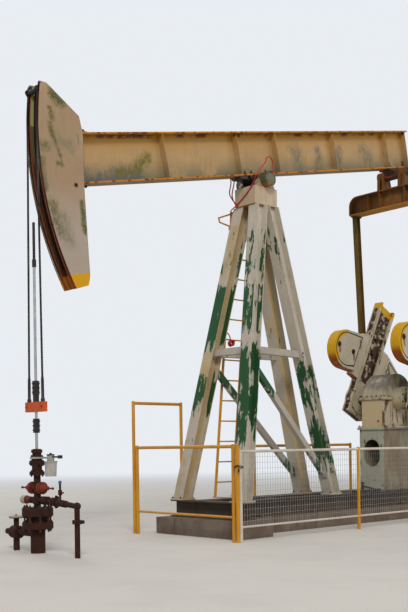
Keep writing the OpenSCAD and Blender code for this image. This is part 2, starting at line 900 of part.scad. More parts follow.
module horsehead() {
  inner = head_half - cheek_t;
  color(paint_cream)
    beam_frame() {
      head_body(-head_half, -inner, rim_r);
      head_body(inner, head_half, rim_r);
      for (s = [-1, 1]) {
        face_strip(s > 0 ? channel_half : -inner - sink, s > 0 ? inner + sink : -channel_half, head_r - face_t, head_r);
        face_strip(s > 0 ? channel_half : -channel_half - face_t, s > 0 ? channel_half + face_t : -channel_half,
          head_r - channel_deep - face_t, head_r - sink);
      }
      face_strip(-channel_half - sink, channel_half + sink, head_r - channel_deep - face_t, head_r - channel_deep);
      intersection() {
        head_body(-inner - sink, inner + sink, head_r - channel_deep - face_t + sink);
        union() {
          for (n = [[beam_top, beam_top + 18], [beam_drop - 18, beam_drop], [-700, -676]])
            box(-head_r, -3100, -200, 200, n[0], n[1]);
          translate([-3336, 0, 52])
            rotate([0, 11.4, 0])
              difference() {
                box(-14, 0, -200, 200, 0, 672);
                for (h = [200, 470]) xcyl(-15, 1, 0, h, 70);
              }
        }
      }
      for (n = [[beam_top, beam_front_top], [beam_drop - 18, beam_front_bottom]])
        box(n[1] - 60, n[1] + 110, -80, 80, n[0], n[0] + 18);
    }
}

module rope_anchor() {
  color(dark)
    beam_frame()
      rotate([0, anchor_a, 0])
        box(-head_r - 60, -head_r - seat, -head_half + cheek_t + 1, head_half - cheek_t - 1, 0, 70);
}

// Ropes lying in the track, from the anchor to where they leave the head
module rope_wraps() {
  color(dark)
    beam_frame()
      for (y = [-rope_y, rope_y])
        translate([0, y, 0])
          rotate([90, 0, 0])
            rotate([0, 0, 180 - anchor_a])
              rotate_extrude(angle = anchor_a - rest_tilt)
                translate([rope_r, 0])
                  circle(rope_d / 2);
}

tail_lug_in = 140;
tail_lug_out = 300;

// Block between the beam and the tail bearing
module tail_block() {
  upright(-tail_lug_in + 30, tail_lug_in - 30)
    polygon([[tail_arm - 150, beam_drop - 28], [tail_arm + 150, beam_drop - 28],
      [tail_arm + 88, 0], [tail_arm - 88, 0]]);
}

// Bearing under the beam that carries the equalizer shaft
module tail_bearing() {
  color(rust)
    beam_frame()
      difference() {
        union() {
          box(tail_arm - 250, tail_arm + 250, -tail_lug_in + 30, tail_lug_in - 30, beam_drop - 28, beam_drop);
          ycyl(tail_arm, -tail_lug_in + move_gap, tail_lug_in - move_gap, 0, 92);
          tail_block();
        }
        ycyl(tail_arm, -tail_lug_in, tail_lug_in, 0, 50 + seat);
      }
}

module grease_line_tail() {
  s0 = tail_arm - 420;
  bend = 75;
  color(hose_red)
    beam_frame()
      difference() {
        union() {
          translate([s0 + bend, -60, beam_drop])
            rotate([90, 0, 0])
              rotate([0, 0, 180])
                rotate_extrude(angle = 90)
                  translate([bend, 0])
                    circle(8);
          rod_between([s0 + bend, -60, beam_drop - bend], [tail_arm - 95, -60, beam_drop - bend], 8);
        }
        tail_block();
      }
}

eq_top = pin_z + 255;
eq_bottom = eq_top - eq_d;
eq_half = pitman_y + 65;
eq_round = 170;

// Rounded end of the equalizer, with the top flange carried round and down
module equalizer_end() {
  yc = eq_half - eq_round;
  zc = eq_top - eq_round;
  x0 = pin_x - eq_w / 2;
  x1 = pin_x + eq_w / 2;
  intersection() {
    difference() {
      xcyl(x0, x1, yc, zc, eq_round - sink);
      for (x = [[x0 - 1, pin_x - 8], [pin_x + 8, x1 + 1]]) xcyl(x[0], x[1], yc, zc, eq_round - 20 - sink);
    }
    box(x0, x1, yc - sink, eq_half, zc, eq_top);
  }
  box(x0, x1, eq_half - 20, eq_half, eq_bottom + 20 - sink, zc + sink);
  box(pin_x - 8, pin_x + 8, yc - sink, eq_half - 20 + sink, eq_bottom + 20 - sink, zc + sink);
  box(x0, x1, yc - sink, eq_half, eq_bottom, eq_bottom + 20);
}

module equalizer() {
  straight = eq_half - eq_round;
  color(rust) {
    translate([pin_x, straight, (eq_top + eq_bottom) / 2])
      rotate([90, 0, 0])
        linear_extrude(2 * straight)
          i_shape(eq_w, eq_d, 20, 16);
    equalizer_end();
    mirror([0, 1, 0]) equalizer_end();
    for (y = [-520, -270, 256, 506])
      box(pin_x - eq_w / 2 + 12, pin_x + eq_w / 2 - 12, y, y + 14, eq_bottom + 19, eq_top - 19);
    for (s = [-1, 1]) {
      ycyl(tail_x, s > 0 ? tail_lug_in : -tail_lug_out, s > 0 ? tail_lug_out : -tail_lug_in, tail_z, 80);
      for (y = [s * (tail_lug_in + 30), s * (tail_lug_out - 35)])
        upright(y - 30, y + 30)
          polygon([[pin_x - 115, eq_top], [pin_x + 115, eq_top], [tail_x + 75, tail_z], [tail_x - 75, tail_z]]);
    }
    ycyl(tail_x, -tail_lug_in, tail_lug_in, tail_z, 50);
  }
}

// Pitman arm with its foot plate, wrist bearing and wrist pin
module pitman(s) {
  wrist_in = max(crank_y + crank_t, crank_y - weight_in + weight_t) + move_gap;
  color(rust) {
    intersection() {
      translate([pin_x, s * pitman_y, pin_z])
        rotate([0, 180 - pitman_lean, 0])
          rotate([0, 0, 90])
            linear_extrude(pitman_len - 60)
              i_shape(pitman_t, pitman_w, 12, 10);
      box(0, 9000, -2000, 2000, 0, eq_bottom - 25);
    }
    box(pin_x - 90, pin_x + 110, s * pitman_y - pitman_t / 2, s * pitman_y + pitman_t / 2, eq_bottom - 25, eq_bottom);
    difference() {
      ycyl(wrist_x, s * pitman_y - 55, s * pitman_y + 60, wrist_z, 135);
      ycyl(wrist_x, s * pitman_y + s * 61 - 12, s * pitman_y + s * 61 + 12, wrist_z, 95);
    }
    ycyl(wrist_x, s > 0 ? wrist_in : -pitman_y - 52, s > 0 ? pitman_y + 52 : -wrist_in, wrist_z, 55);
  }
}

module pitman_near() { pitman(-1); }
module pitman_far() { pitman(1); }

module crankshaft() {
  color(steel)
    ycyl(shaft_x, -crank_y - crank_t - 8, crank_y + crank_t + 8, shaft_h, shaft_d / 2);
}

stroke_holes = [1000, 1250, 1500];

// Crank with a deep inner pocket that runs out at the tip, and pads for the wrist pin
module crank_arm() {
  hw = crank_w / 2;
  color(paint_white)
    crank_frame()
      difference() {
        union() {
          difference() {
            box(-hw, hw, crank_y, crank_y + crank_t, -300, crank_tip);
            box(-hw + 62, hw - 62, crank_y - 1, crank_y + 70, 330, crank_tip + 1);
            box(-hw + 62, hw - 62, crank_y + crank_t - 35, crank_y + crank_t + 1, 330, crank_tip + 1);
            for (s = [-1, 1])
              box(s * hw - 18, s * hw + 18, crank_y + 24, crank_y + crank_t - 24, -272, 250);
          }
          ycyl(0, crank_y - 20, crank_y + crank_t, 0, 250);
          for (h = stroke_holes)
            ycyl(0, crank_y + 70, crank_y + crank_t, h, 95);
        }
        ycyl(0, crank_y - 30, crank_y + crank_t + 30, 0, shaft_d / 2 + seat);
        for (h = [1250, 1500])
          ycyl(0, crank_y - 30, crank_y + crank_t + 30, h, 45);
        for (s = [-1, 1])
          upright(crank_y - 1, crank_y + crank_t + 1)
            polygon([[s * (hw + 1), crank_tip - 24], [s * (hw + 1), crank_tip + 1], [s * (hw - 24), crank_tip + 1]]);
      }
}

module crank_far() { crank_arm(); }
module crank_near() { mirror([0, 1, 0]) crank_arm(); }

// Touching point on a circle of the line from p
function touch(c, r, p, s) = let (d = p - c, t = atan2(d[1], d[0]) + s * acos(r / norm(d)))
  c + r * [cos(t), sin(t)];

weight_c = [-740, 640];
weight_r = 340;
weight_in = 15;                   // distance of a weight's inner face inside the crank's

// Half round counterweight outline, drawn inwards by i
module weight_profile(i) {
  top = [-400 - i, 1120 - 1.7 * i];
  low = [-400 - i, 385 + 1.5 * i];
  translate(weight_c) circle(weight_r - i, $fn = 96);
  r = weight_r - i - sink;
  polygon([touch(weight_c, r, top, 1), weight_c, touch(weight_c, r, low, -1), low, top]);
}

module weight() {
  y0 = crank_y - weight_in;
  color(paint_white)
    crank_frame()
      difference() {
        union() {
          upright(y0, y0 + weight_t) weight_profile(0);
          box(-410, -crank_w / 2, y0 + 30, y0 + weight_t - 30, 330, 1160);
        }
        for (f = [y0 - 1, y0 + weight_t - 9]) {
          difference() {
            upright(f, f + 10) weight_profile(40);
            upright(f - 1, f + 11) weight_profile(52);
          }
          ycyl(-957, f - 20, f + 30, 610, 52);
          ycyl(-560, f - 20, f + 30, 680, 52);
        }
      }
}

module rear_weight() {
  translate([shaft_x, 0, shaft_h])
    rotate([0, 2 * rest_crank, 0])
      mirror([1, 0, 0])
        translate([-shaft_x, 0, -shaft_h])
          weight();
}

module weight_front_far() { weight(); }
module weight_front_near() { mirror([0, 1, 0]) weight(); }
module weight_rear_far() { rear_weight(); }
module weight_rear_near() { mirror([0, 1, 0]) rear_weight(); }

rod_bottom = 200;
rod_top = 3560;

module polished_rod() {
  color(steel)
    translate([rod_x, 0, rod_bottom]) cylinder(h = rod_top - rod_bottom, r = rod_d / 2);
}

module clamp(z0, z1, w) {
  difference() {
    box(rod_x - w / 2, rod_x + w / 2, -w / 2, w / 2, z0, z1);
    translate([rod_x, 0, z0 - 1]) cylinder(h = z1 - z0 + 2, r = rod_d / 2 + 0.1);
  }
}

// Spacer and clamp on the bar, clamp over the stuffing box, and the coupled end of the rod
module rod_clamps() {
  color(dark) {
    clamp(bar_top, bar_top + 86, 54);
    clamp(bar_top + 86, bar_top + 258, 62);
    clamp(box_h + 204, box_h + 378, 58);
    difference() {
      translate([rod_x, 0, rod_top - 66]) cylinder(h = 90, r = 26);
      translate([rod_x, 0, rod_top - 67]) cylinder(h = 67, r = rod_d / 2 + 0.1);
    }
    translate([rod_x, 0, rod_top + 20]) cylinder(h = 460, r = 17);
  }
}

module carrier_bar() {
  color(paint_yellow)
    difference() {
      box(rod_x - 33, rod_x + 33, -195, 195, bar_bottom, bar_top);
      translate([rod_x, 0, bar_bottom - 1]) cylinder(h = bar_h + 2, r = rod_d / 2 + 0.1);
    }
}

// Ropes that hang from the head to the carrier bar
module hanging_ropes() {
  color(dark)
    for (y = [-rope_y, rope_y])
      translate([rod_x, y, bar_top]) cylinder(h = pivot_h - move_gap - bar_top, r = rope_d / 2);
}

foundation();
skid_rails();
skid_cross_beams();
leg_front_near();
leg_front_far();
leg_rear_near();
leg_rear_far();
ties();
diagonals();
post_cap();
bearing_near();
bearing_far();
ladder();
grease_line_post();
gearbox_pedestal();
gear_case();
gear_cover();
unit_sheave();
belts();
motor_sheave();
belt_guard();
motor();
motor_base();
brake_drum();
brake_latch();
casing_head();
tubing_spool();
spool_valves();
pumping_tee();
stuffing_box();
leak_pot();
flow_line();
side_valve();
fence_front();
fence_tall_frame();
fence_far();
fence_near();
fence_near_posts();
walking_beam();
saddle();
horsehead();
rope_anchor();
rope_wraps();
tail_bearing();
grease_line_tail();
equalizer();
pitman_near();
pitman_far();
crankshaft();
crank_near();
crank_far();
weight_front_near();
weight_front_far();
weight_rear_near();
weight_rear_far();
polished_rod();
rod_clamps();
carrier_bar();
hanging_ropes();
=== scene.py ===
"""Dresses the pumpjack's solids with finishes, fasteners, ropes, hoses and mesh, and lights it."""
import math

import bmesh
import bpy
from bpy.props import FloatProperty, FloatVectorProperty, IntProperty, PointerProperty
from mathutils import Matrix, Vector


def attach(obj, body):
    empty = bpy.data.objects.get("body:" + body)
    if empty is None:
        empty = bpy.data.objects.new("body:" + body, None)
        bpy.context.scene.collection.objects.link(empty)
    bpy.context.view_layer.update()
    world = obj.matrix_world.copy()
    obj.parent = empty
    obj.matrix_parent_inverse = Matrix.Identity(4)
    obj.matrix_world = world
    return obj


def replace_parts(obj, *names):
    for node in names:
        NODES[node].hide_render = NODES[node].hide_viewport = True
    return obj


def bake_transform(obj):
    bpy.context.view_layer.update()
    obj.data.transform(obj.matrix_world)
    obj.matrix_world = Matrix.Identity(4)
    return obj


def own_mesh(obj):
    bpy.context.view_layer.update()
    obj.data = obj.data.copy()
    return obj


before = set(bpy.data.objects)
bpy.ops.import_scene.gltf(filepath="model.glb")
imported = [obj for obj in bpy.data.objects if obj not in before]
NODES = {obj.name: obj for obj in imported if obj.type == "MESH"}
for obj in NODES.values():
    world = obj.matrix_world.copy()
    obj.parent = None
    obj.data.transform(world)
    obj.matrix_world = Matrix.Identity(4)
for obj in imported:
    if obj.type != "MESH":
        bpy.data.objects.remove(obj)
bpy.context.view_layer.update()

bl_info = {
    "name": "Pumpjack finishes",
    "version": (1, 0, 0),
    "blender": (4, 5, 0),
    "location": "3D View > Sidebar > Pumpjack",
    "description": "Finishes, fasteners, ropes, hoses, wire mesh and lights for a walking beam pumpjack",
    "category": "Object",
}

FRAME_BODY = "frame"
BEAM_BODY = "walking_beam_body"
EQUALIZER_BODY = "equalizer_body"
CRANK_BODY = "crank_body"
ROD_BODY = "rod_body"

# Sizes and places from the source, in metres. The head is at -X, and the centre plane is y = 0
PIVOT = Vector((0, 0, 5.24))
TILT = math.radians(12.5)
HEAD_R = 3.925
TAIL_ARM = 3.6
ROPE_X = -3.9393
ROPE_Y = 0.104
BAR_TOP = 1.846
BEAM_DROP = 0.095
BEAM_DEPTH = 0.635
BEAM_FLANGE = 0.022
SHAFT = Vector((3.25, 0, 2.052))
THROW = 1.0
CRANK_LEAN = math.radians(27)
WEIGHT_OUT = 0.761
WEIGHT_IN = 0.581
WRIST = Vector((SHAFT.x + THROW * math.sin(CRANK_LEAN), 0, SHAFT.z + THROW * math.cos(CRANK_LEAN)))
TAIL = Vector((TAIL_ARM * math.cos(TILT), 0, PIVOT.z + TAIL_ARM * math.sin(TILT)))
PITMAN_Y = 0.863
SKID_TOP = 0.487
PLATE_TOP = SKID_TOP + 0.025
CAP_TOP = 5.128
MOTOR = Vector((5.68, 0, 0.907))
BIG_SHEAVE = (Vector((4.23, 0, 2.092)), 0.43)
SMALL_SHEAVE = (MOTOR, 0.125)
BELT_Y = -0.395
BELTS_WIDE = 0.11
HOSE_R = 0.009
FENCE_X = -1.56
FENCE_Y = 1.08
FENCE_H = 1.29
FENCE_BAY = 2.56
NEAR_X0 = FENCE_X + 0.056
NEAR_RAIL_Z = 1.2

# The beam's and the crank's own places, and the ways along and across them
BEAM = Matrix.Translation(PIVOT) @ Matrix.Rotation(-TILT, 4, "Y")
CRANK = Matrix.Translation(SHAFT) @ Matrix.Rotation(CRANK_LEAN, 4, "Y")
BEAM_ALONG = Vector((math.cos(TILT), 0, math.sin(TILT)))
BEAM_UP = Vector((-math.sin(TILT), 0, math.cos(TILT)))
CRANK_ALONG = Vector((math.sin(CRANK_LEAN), 0, math.cos(CRANK_LEAN)))
CRANK_ACROSS = Vector((math.cos(CRANK_LEAN), 0, -math.sin(CRANK_LEAN)))
UP = (0, 0, 1)
DOWN = (0, 0, -1)


def linear(hexed):
    """sRGB hex to a linear colour."""
    out = []
    for i in (0, 2, 4):
        c = int(hexed[i : i + 2], 16) / 255
        out.append(c / 12.92 if c <= 0.04045 else ((c + 0.055) / 1.055) ** 2.4)
    return (*out, 1.0)


def darker(colour, share):
    return (*(c * share for c in colour[:3]), 1.0)


# Node trees. A MapRange with SOFT goes smoothly from 0 at one value to 1 at the other
SOFT = {"interpolation_type": "SMOOTHSTEP"}


def add(tree, kind, inputs, out=0, **settings):
    """Adds a node with its settings, fills its inputs with values or links, and gives back one output.

    kind is the node's type, and after a space the operation of one that calculates."""
    kind, _, operation = kind.partition(" ")
    node = tree.nodes.new("ShaderNode" + kind)
    if operation:
        node.operation = operation
    for key, value in settings.items():
        setattr(node, key, value)
    for key, value in inputs.items() if isinstance(inputs, dict) else enumerate(inputs):
        if isinstance(value, bpy.types.NodeSocket):
            tree.links.new(value, node.inputs[key])
        else:
            node.inputs[key].default_value = value
    return node.outputs[out]


def cloud(tree, at, size, detail=5.0, rough=0.6, stretch=(1, 1, 1)):
    """Noise whose features are about that many metres across."""
    moved = add(tree, "Mapping", {0: at, 3: stretch})
    inputs = {"Vector": moved, "Scale": 1 / size, "Detail": detail, "Roughness": rough}
    return add(tree, "TexNoise", inputs)


# Masks by place. Each is called with the tree, the place and a noise that makes edges ragged


def past(tree, distance, limit, soft, noise, ragged):
    """1 where a distance is past its limit."""
    wander = add(tree, "Math SUBTRACT", [noise, 0.5])
    wander = add(tree, "Math MULTIPLY", [wander, ragged])
    distance = add(tree, "Math ADD", [distance, wander])
    return add(tree, "MapRange", [distance, limit, limit + soft], **SOFT)


def beyond(direction, offset, soft=0.02, ragged=0.0):
    """Past a plane, given by its normal and its distance from the origin."""

    def mask(tree, at, noise):
        d = add(tree, "VectorMath DOT_PRODUCT", [at, direction], "Value")
        return past(tree, d, offset, soft, noise, ragged)

    return mask


def above(z, soft, ragged=0.0):
    return beyond(UP, z, soft, ragged)


def below(z, soft, ragged=0.0):
    return beyond(DOWN, -z, soft, ragged)


def high_on_beam(height, soft, ragged=0.0):
    """Above a line along the tilted beam, that height over the pivot."""
    return beyond(BEAM_UP, BEAM_UP.dot(PIVOT) + height, soft, ragged)


def low_on_beam(height, soft, ragged=0.0):
    """Below a line along the tilted beam, that height over the pivot."""
    return beyond(-BEAM_UP, -BEAM_UP.dot(PIVOT) - height, soft, ragged)


def round_of(centre, radius, soft=0.01, ragged=0.0):
    """Further than the radius from an axis along Y."""

    def mask(tree, at, noise):
        flat = add(tree, "VectorMath MULTIPLY", [at, (1, 0, 1)])
        d = add(tree, "VectorMath DISTANCE", [flat, (centre.x, 0, centre.z)], "Value")
        return past(tree, d, radius, soft, noise, ragged)

    return mask


def wider(y, soft=0.004):
    """Further than y from the centre plane."""

    def mask(tree, at, noise):
        off = add(tree, "Math ABSOLUTE", [add(tree, "SeparateXYZ", [at], 1)])
        return add(tree, "MapRange", [off, y, y + soft], **SOFT)

    return mask


def facing(direction, low=0.3, high=0.6):
    """On faces that look along a direction of the object."""

    def mask(tree, at, noise):
        normal = add(tree, "NewGeometry", [], "Normal")
        spaces = {"convert_from": "WORLD", "convert_to": "OBJECT"}
        normal = add(tree, "VectorTransform", [normal], vector_type="NORMAL", **spaces)
        d = add(tree, "VectorMath DOT_PRODUCT", [normal, direction], "Value")
        return add(tree, "MapRange", [d, low, high], **SOFT)

    return mask


def both(*masks):
    """Where all of the masks are."""

    def mask(tree, at, noise):
        value = masks[0](tree, at, noise)
        for other in masks[1:]:
            value = add(tree, "Math MULTIPLY", [value, other(tree, at, noise)])
        return value

    return mask


def outside(other):
    """Where another mask is not."""

    def mask(tree, at, noise):
        return add(tree, "Math SUBTRACT", [1.0, other(tree, at, noise)])

    return mask


def layer(low, high):
    """Between two distances from the centre plane."""
    return both(wider(low), outside(wider(high)))


def patches(size, low, high, stretch=(1, 1, 1), shift=0.0):
    """Cloudy patches that many metres across. low and high set how much they cover."""

    def mask(tree, at, noise):
        moved = add(tree, "VectorMath ADD", [at, (shift, shift, shift)])
        return add(tree, "MapRange", [cloud(tree, moved, size, 6, 0.62, stretch), low, high], **SOFT)

    return mask


def stains(*strokes, fine=0.1, strength=0.85):
    """Cloudy marks along strokes in the XZ plane, each (x, z, x, z, half width)."""

    def mask(tree, at, noise):
        flat = add(tree, "VectorMath MULTIPLY", [at, (1, 0, 1)])
        # in half widths of a stroke, and past every stroke to begin with
        nearest = 9.0
        for x0, z0, x1, z1, wide in strokes:
            start, run = Vector((x0, 0, z0)), Vector((x1 - x0, 0, z1 - z0))
            since = add(tree, "VectorMath SUBTRACT", [flat, start])
            scaled = run / run.length_squared
            t = add(tree, "VectorMath DOT_PRODUCT", [since, scaled], "Value")
            foot = add(tree, "VectorMath SCALE", {0: run, "Scale": add(tree, "Clamp", [t])})
            off = add(tree, "VectorMath DISTANCE", [since, foot], "Value")
            off = add(tree, "Math DIVIDE", [off, wide])
            nearest = add(tree, "Math MINIMUM", [nearest, off])
        broken = add(tree, "Math SUBTRACT", [cloud(tree, at, fine, 8, 0.8, (1, 1, 0.7)), 0.5])
        broken = add(tree, "Math MULTIPLY", [broken, 4.5])
        inside = add(tree, "Math ADD", [nearest, broken])
        inside = add(tree, "MapRange", [inside, 2.1, 0.1], **SOFT)
        mottle = cloud(tree, at, fine * 0.3, 5, 0.75, (1, 1, 0.5))
        mottle = add(tree, "MapRange", [mottle, 0.34, 0.6], **SOFT)
        mottle = add(tree, "Math ADD", [0.35, mottle])
        inside = add(tree, "Math MULTIPLY", [inside, mottle])
        return add(tree, "Math MULTIPLY", [inside, strength])

    return mask


def flaked(*spans, soft=0.28, fine=0.09):
    """Between heights, each (low, high, share), as long upright flakes with ragged ends."""

    def mask(tree, at, noise):
        z = add(tree, "SeparateXYZ", [at], 2)
        share = 0.0
        for low, high, part in spans:
            begun = add(tree, "MapRange", [z, low - soft, low + soft], **SOFT)
            going = add(tree, "MapRange", [z, high + soft, high - soft], **SOFT)
            inside = add(tree, "Math MULTIPLY", [begun, going])
            inside = add(tree, "Math MULTIPLY", [inside, part])
            share = add(tree, "Math MAXIMUM", [share, inside])
        edges = []
        for size, detail, rough, tall, strong in (
            (fine, 4, 0.6, 0.1, 2.4), (fine * 0.6, 7, 0.75, 0.35, 1.6),
        ):
            flakes = cloud(tree, at, size, detail, rough, (1, 1, tall))
            centred = add(tree, "Math SUBTRACT", [flakes, 0.5])
            edges.append(add(tree, "Math MULTIPLY", [centred, strong]))
        ragged = add(tree, "Math ADD", edges)
        share = add(tree, "Math ADD", [share, ragged])
        return add(tree, "MapRange", [share, 0.54, 0.64], **SOFT)

    return mask


def new_material(name):
    material = bpy.data.materials.new(name)
    material.use_nodes = True
    tree = material.node_tree
    return material, tree, tree.nodes["Principled BSDF"], add(tree, "TexCoord", [], "Object")


def weathered(
    name,
    colours,
    patch=0.5,
    grimy=0.5,
    rusty=0.3,
    edge=0.5,
    rough=0.55,
    metallic=0.0,
    grain=0.012,
    relief=0.0015,
    overlays=(),
):
    """Old coating on metal: cloudy fading, grime that runs down, rust in spots and along edges.

    colours are those of the coat, the faded coat, the grime and the rust. patch is the size of a faded
    area and grain that of a pit, in metres. Real pits are 1 to 3 mm, too fine to show, so grain is drawn
    coarser. overlays are (mask, colour), laid over the coat and its grime, under the rust."""
    coat, faded, grime, rust = (linear(c) for c in colours.split())
    material, tree, shader, at = new_material(name)
    ragged = cloud(tree, at, patch * 0.4, 8, 0.7)
    fading = add(tree, "MapRange", [cloud(tree, at, patch), 0.4, 0.66], **SOFT)
    colour = add(tree, "Mix", {0: fading, 6: coat, 7: faded}, 2, data_type="RGBA")
    runs = add(tree, "MapRange", [cloud(tree, at, 0.06, 6, 0.65, (1, 1, 0.16)), 0.46, 0.7], **SOFT)
    where = add(tree, "MapRange", [cloud(tree, at, patch * 1.3, 3, 0.5, (1, 1, 0.5)), 0.4, 0.6], **SOFT)
    dirty = add(tree, "Math MULTIPLY", [runs, where])
    dirty = add(tree, "Math MULTIPLY", [dirty, grimy])
    colour = add(tree, "Mix", {0: dirty, 6: colour, 7: grime}, 2, data_type="RGBA")
    for mask, hexed in overlays:
        laid = {0: mask(tree, at, ragged), 6: colour, 7: linear(hexed)}
        colour = add(tree, "Mix", laid, 2, data_type="RGBA")

    # rust in spots, and where an edge has lost its coat
    grit = cloud(tree, at, grain, 3, 0.6)
    fine = add(tree, "Math SUBTRACT", [grit, 0.5])
    fine = add(tree, "Math MULTIPLY", [fine, 0.12])
    spots = add(tree, "Math ADD", [cloud(tree, at, 0.09, 9, 0.72, (1, 1, 0.55)), fine])
    limit = 0.78 - 0.3 * rusty
    spots = add(tree, "MapRange", [spots, limit, limit + 0.035], **SOFT)
    rounded = add(tree, "Bevel", {"Radius": 0.012}, samples=4)
    true = add(tree, "NewGeometry", [], "Normal")
    same = add(tree, "VectorMath DOT_PRODUCT", [rounded, true], "Value")
    turn = add(tree, "MapRange", [same, 0.985, 0.9], **SOFT)
    broken = add(tree, "MapRange", [ragged, 0.42, 0.55], **SOFT)
    bare = add(tree, "Math MULTIPLY", [turn, broken])
    bare = add(tree, "Math MULTIPLY", [bare, edge])
    rusted = add(tree, "Math MAXIMUM", [spots, bare])
    mottle = add(tree, "MapRange", [grit, 0.35, 0.65], **SOFT)
    two_tone = add(tree, "Mix", {0: mottle, 6: rust, 7: darker(rust, 0.45)}, 2, data_type="RGBA")
    colour = add(tree, "Mix", {0: rusted, 6: colour, 7: two_tone}, 2, data_type="RGBA")

    varied = add(tree, "Math MULTIPLY", [fading, 0.16])
    varied = add(tree, "Math ADD", [rough - 0.08, varied])
    varied = add(tree, "Mix", {0: rusted, 2: varied, 3: 0.9}, data_type="FLOAT")
    height = add(tree, "Math MULTIPLY", [grit, 0.35])
    pitted = add(tree, "Math MULTIPLY", [rusted, -0.5])
    height = add(tree, "Math ADD", [height, pitted])
    worn = add(tree, "Math MULTIPLY", [fading, 0.3])
    height = add(tree, "Math ADD", [height, worn])
    bump = add(tree, "Bump", {"Height": height, "Distance": relief, "Strength": 0.6})
    for key, value in (("Base Color", colour), ("Roughness", varied), ("Normal", bump)):
        tree.links.new(value, shader.inputs[key])
    shader.inputs["Metallic"].default_value = metallic
    shader.inputs["Specular IOR Level"].default_value = 0.2 if rough > 0.52 else 0.4
    return material


def weight_paint(side, name):
    """Off-white enamel on cast iron, its rounded end yellow. side is 1 ahead of the crank, -1 behind it."""
    centre = SHAFT - CRANK_ACROSS * 0.74 * side + CRANK_ALONG * 0.64
    ahead = -CRANK_ACROSS * side
    end = both(round_of(centre, 0.245, 0.006), beyond(ahead, ahead.dot(SHAFT) + 0.86, 0.006))
    under = both(facing((-0.2, 0, -1), 0.35, 0.7), patches(0.16, 0.3, 0.42))
    holes = [CRANK @ Vector((x * side, 0, z)) for x, z in ((-0.957, 0.61), (-0.56, 0.68), (-0.47, 0.95))]
    drips = stains(*((p.x, p.z + 0.02, p.x + 0.01, p.z - 0.13, 0.022) for p in holes), fine=0.04)
    return weathered(
        name,
        "BBB29D C9C2B0 8E8068 7A4220",
        patch=0.35,
        grimy=0.35,
        edge=0.7,
        overlays=[(end, "D2A212"), (drips, "6E3A1C"), (under, "A0521A")],
    )


def leg_finishes():
    """Enamel peeling off an older green coat: matt cream with long upright flakes of deep green. The far
    legs' tan coats are painted shade, and the paler tint on faces that look ahead is painted light.
    """
    ahead = facing((-1, 0, 0), 0.2, 0.5)
    # each with its coat's two colours, flakes on the faces that look ahead, and flakes on every face
    legs = {
        "front_near": (
            "CBC4B8 BDB6AA",
            [(3.7, 4.5, 0.62), (2.9, 3.72, 0.85), (1.3, 2.7, 0.9)],
            [(2.3, 2.75, 0.85), (1.5, 2.2, 0.75), (3.0, 3.6, 0.3)],
        ),
        # its tan coat is painted shade on the far leg
        "front_far": (
            "C2AE88 B59F78",
            [(4.25, 4.45, 0.5), (3.8, 4.15, 0.7), (2.7, 3.7, 1.0), (1.75, 2.35, 0.95), (1.2, 1.5, 0.5)],
            [],
        ),
        "rear_near": (
            "CBC4B8 BDB6AA",
            [(4.0, 4.6, 0.4)],
            [(3.6, 3.8, 0.25), (1.8, 2.6, 0.72), (0.87, 1.66, 0.85)],
        ),
        # its tan coat is painted shade on the far leg
        "rear_far": ("C6B287 B8A276", [], [(2.8, 3.2, 0.2)]),
        "braces": ("B2ACA1 A49E93", [], [(2.0, 2.5, 0.8), (0.7, 1.12, 0.75)]),
    }
    made = {}
    for key, (coat, front, whole) in legs.items():
        # paler in patches on faces that look ahead (-X): painted light on the lit side
        lit_ahead = both(ahead, patches(0.5, 0.35, 0.5))
        overlays = [(lit_ahead, "BFB8AC"), (patches(0.03, 0.68, 0.71, (1, 1, 0.6)), "5E3A24")]
        if front:
            overlays.append((both(flaked(*front), ahead), "24502F"))
        if whole:
            overlays.append((flaked(*whole), "24502F"))
        made[key] = weathered(
            f"peeling alkyd enamel, {key.replace('_', ' ')}",
            coat + " 978C76 6B4326",
            patch=0.7,
            grimy=0.45,
            rusty=0.12,
            edge=0.4,
            overlays=overlays,
        )
    return made


def head_overlays():
    """Green stains, the yellow lower end, and rust in the channel and on the strips of the head's front."""
    front = facing(BEAM_ALONG * -1, 0.6, 0.75)
    channel = both(round_of(PIVOT, HEAD_R - 0.05, 0.002), layer(-0.01, 0.0615))
    strip = both(front, both(layer(0.0615, 0.082), patches(0.06, 0.3, 0.45)))
    rim = both(front, both(layer(0.122, 0.14), patches(0.08, 0.3, 0.45, (1, 1, 0.4))))
    brow = stains(
        (-3.89, 4.96, -3.82, 4.98, 0.05), (-3.89, 4.8, -3.84, 4.45, 0.03), (-3.76, 4.27, -3.64, 3.92, 0.06)
    )
    cheek = stains(
        (-3.67, 5.1, -3.46, 5.02, 0.06),
        (-3.6, 4.12, -3.5, 3.84, 0.07),
        (-3.36, 5.2, -3.34, 5.1, 0.02),
        fine=0.16,
        strength=0.6,
    )
    run = stains(
        (-3.77, 5.44, -3.74, 5.33, 0.03),
        (-3.77, 5.26, -3.74, 5.14, 0.03),
        (-3.74, 5.14, -3.63, 4.9, 0.022),
        fine=0.07,
    )
    spot = stains((-3.66, 4.79, -3.6, 4.78, 0.025), (-3.63, 4.9, -3.6, 4.82, 0.012), fine=0.06)
    moss = stains(
        (-3.73, 5.64, -3.6, 5.55, 0.05), (-3.31, 4.36, -3.265, 4.0, 0.028), fine=0.05, strength=1.0
    )
    return [
        (both(patches(0.4, 0.25, 0.45), below(4.7, 0.8, 0.5)), "A99C90"),
        (brow, "6A6744"),
        (cheek, "78745A"),
        (run, "5E5826"),
        (spot, "645E30"),
        (moss, "4C5220"),
        (low_on_beam(-1.005, 0.008), "D09C14"),
        (channel, "5B5238"),
        (both(channel, below(4.9, 0.2)), "4A2C18"),
        (both(channel, above(5.24, 0.004)), "A09C68"),
        (both(round_of(PIVOT, HEAD_R - 0.6, 0.004), front), "1C120E"),
        (strip, "8C3F1A"),
        (rim, "6E2A16"),
        (both(front, low_on_beam(-0.9, 0.25, 0.2)), "8A4318"),
        (both(channel, low_on_beam(-1.005, 0.01)), "A8641A"),
    ]


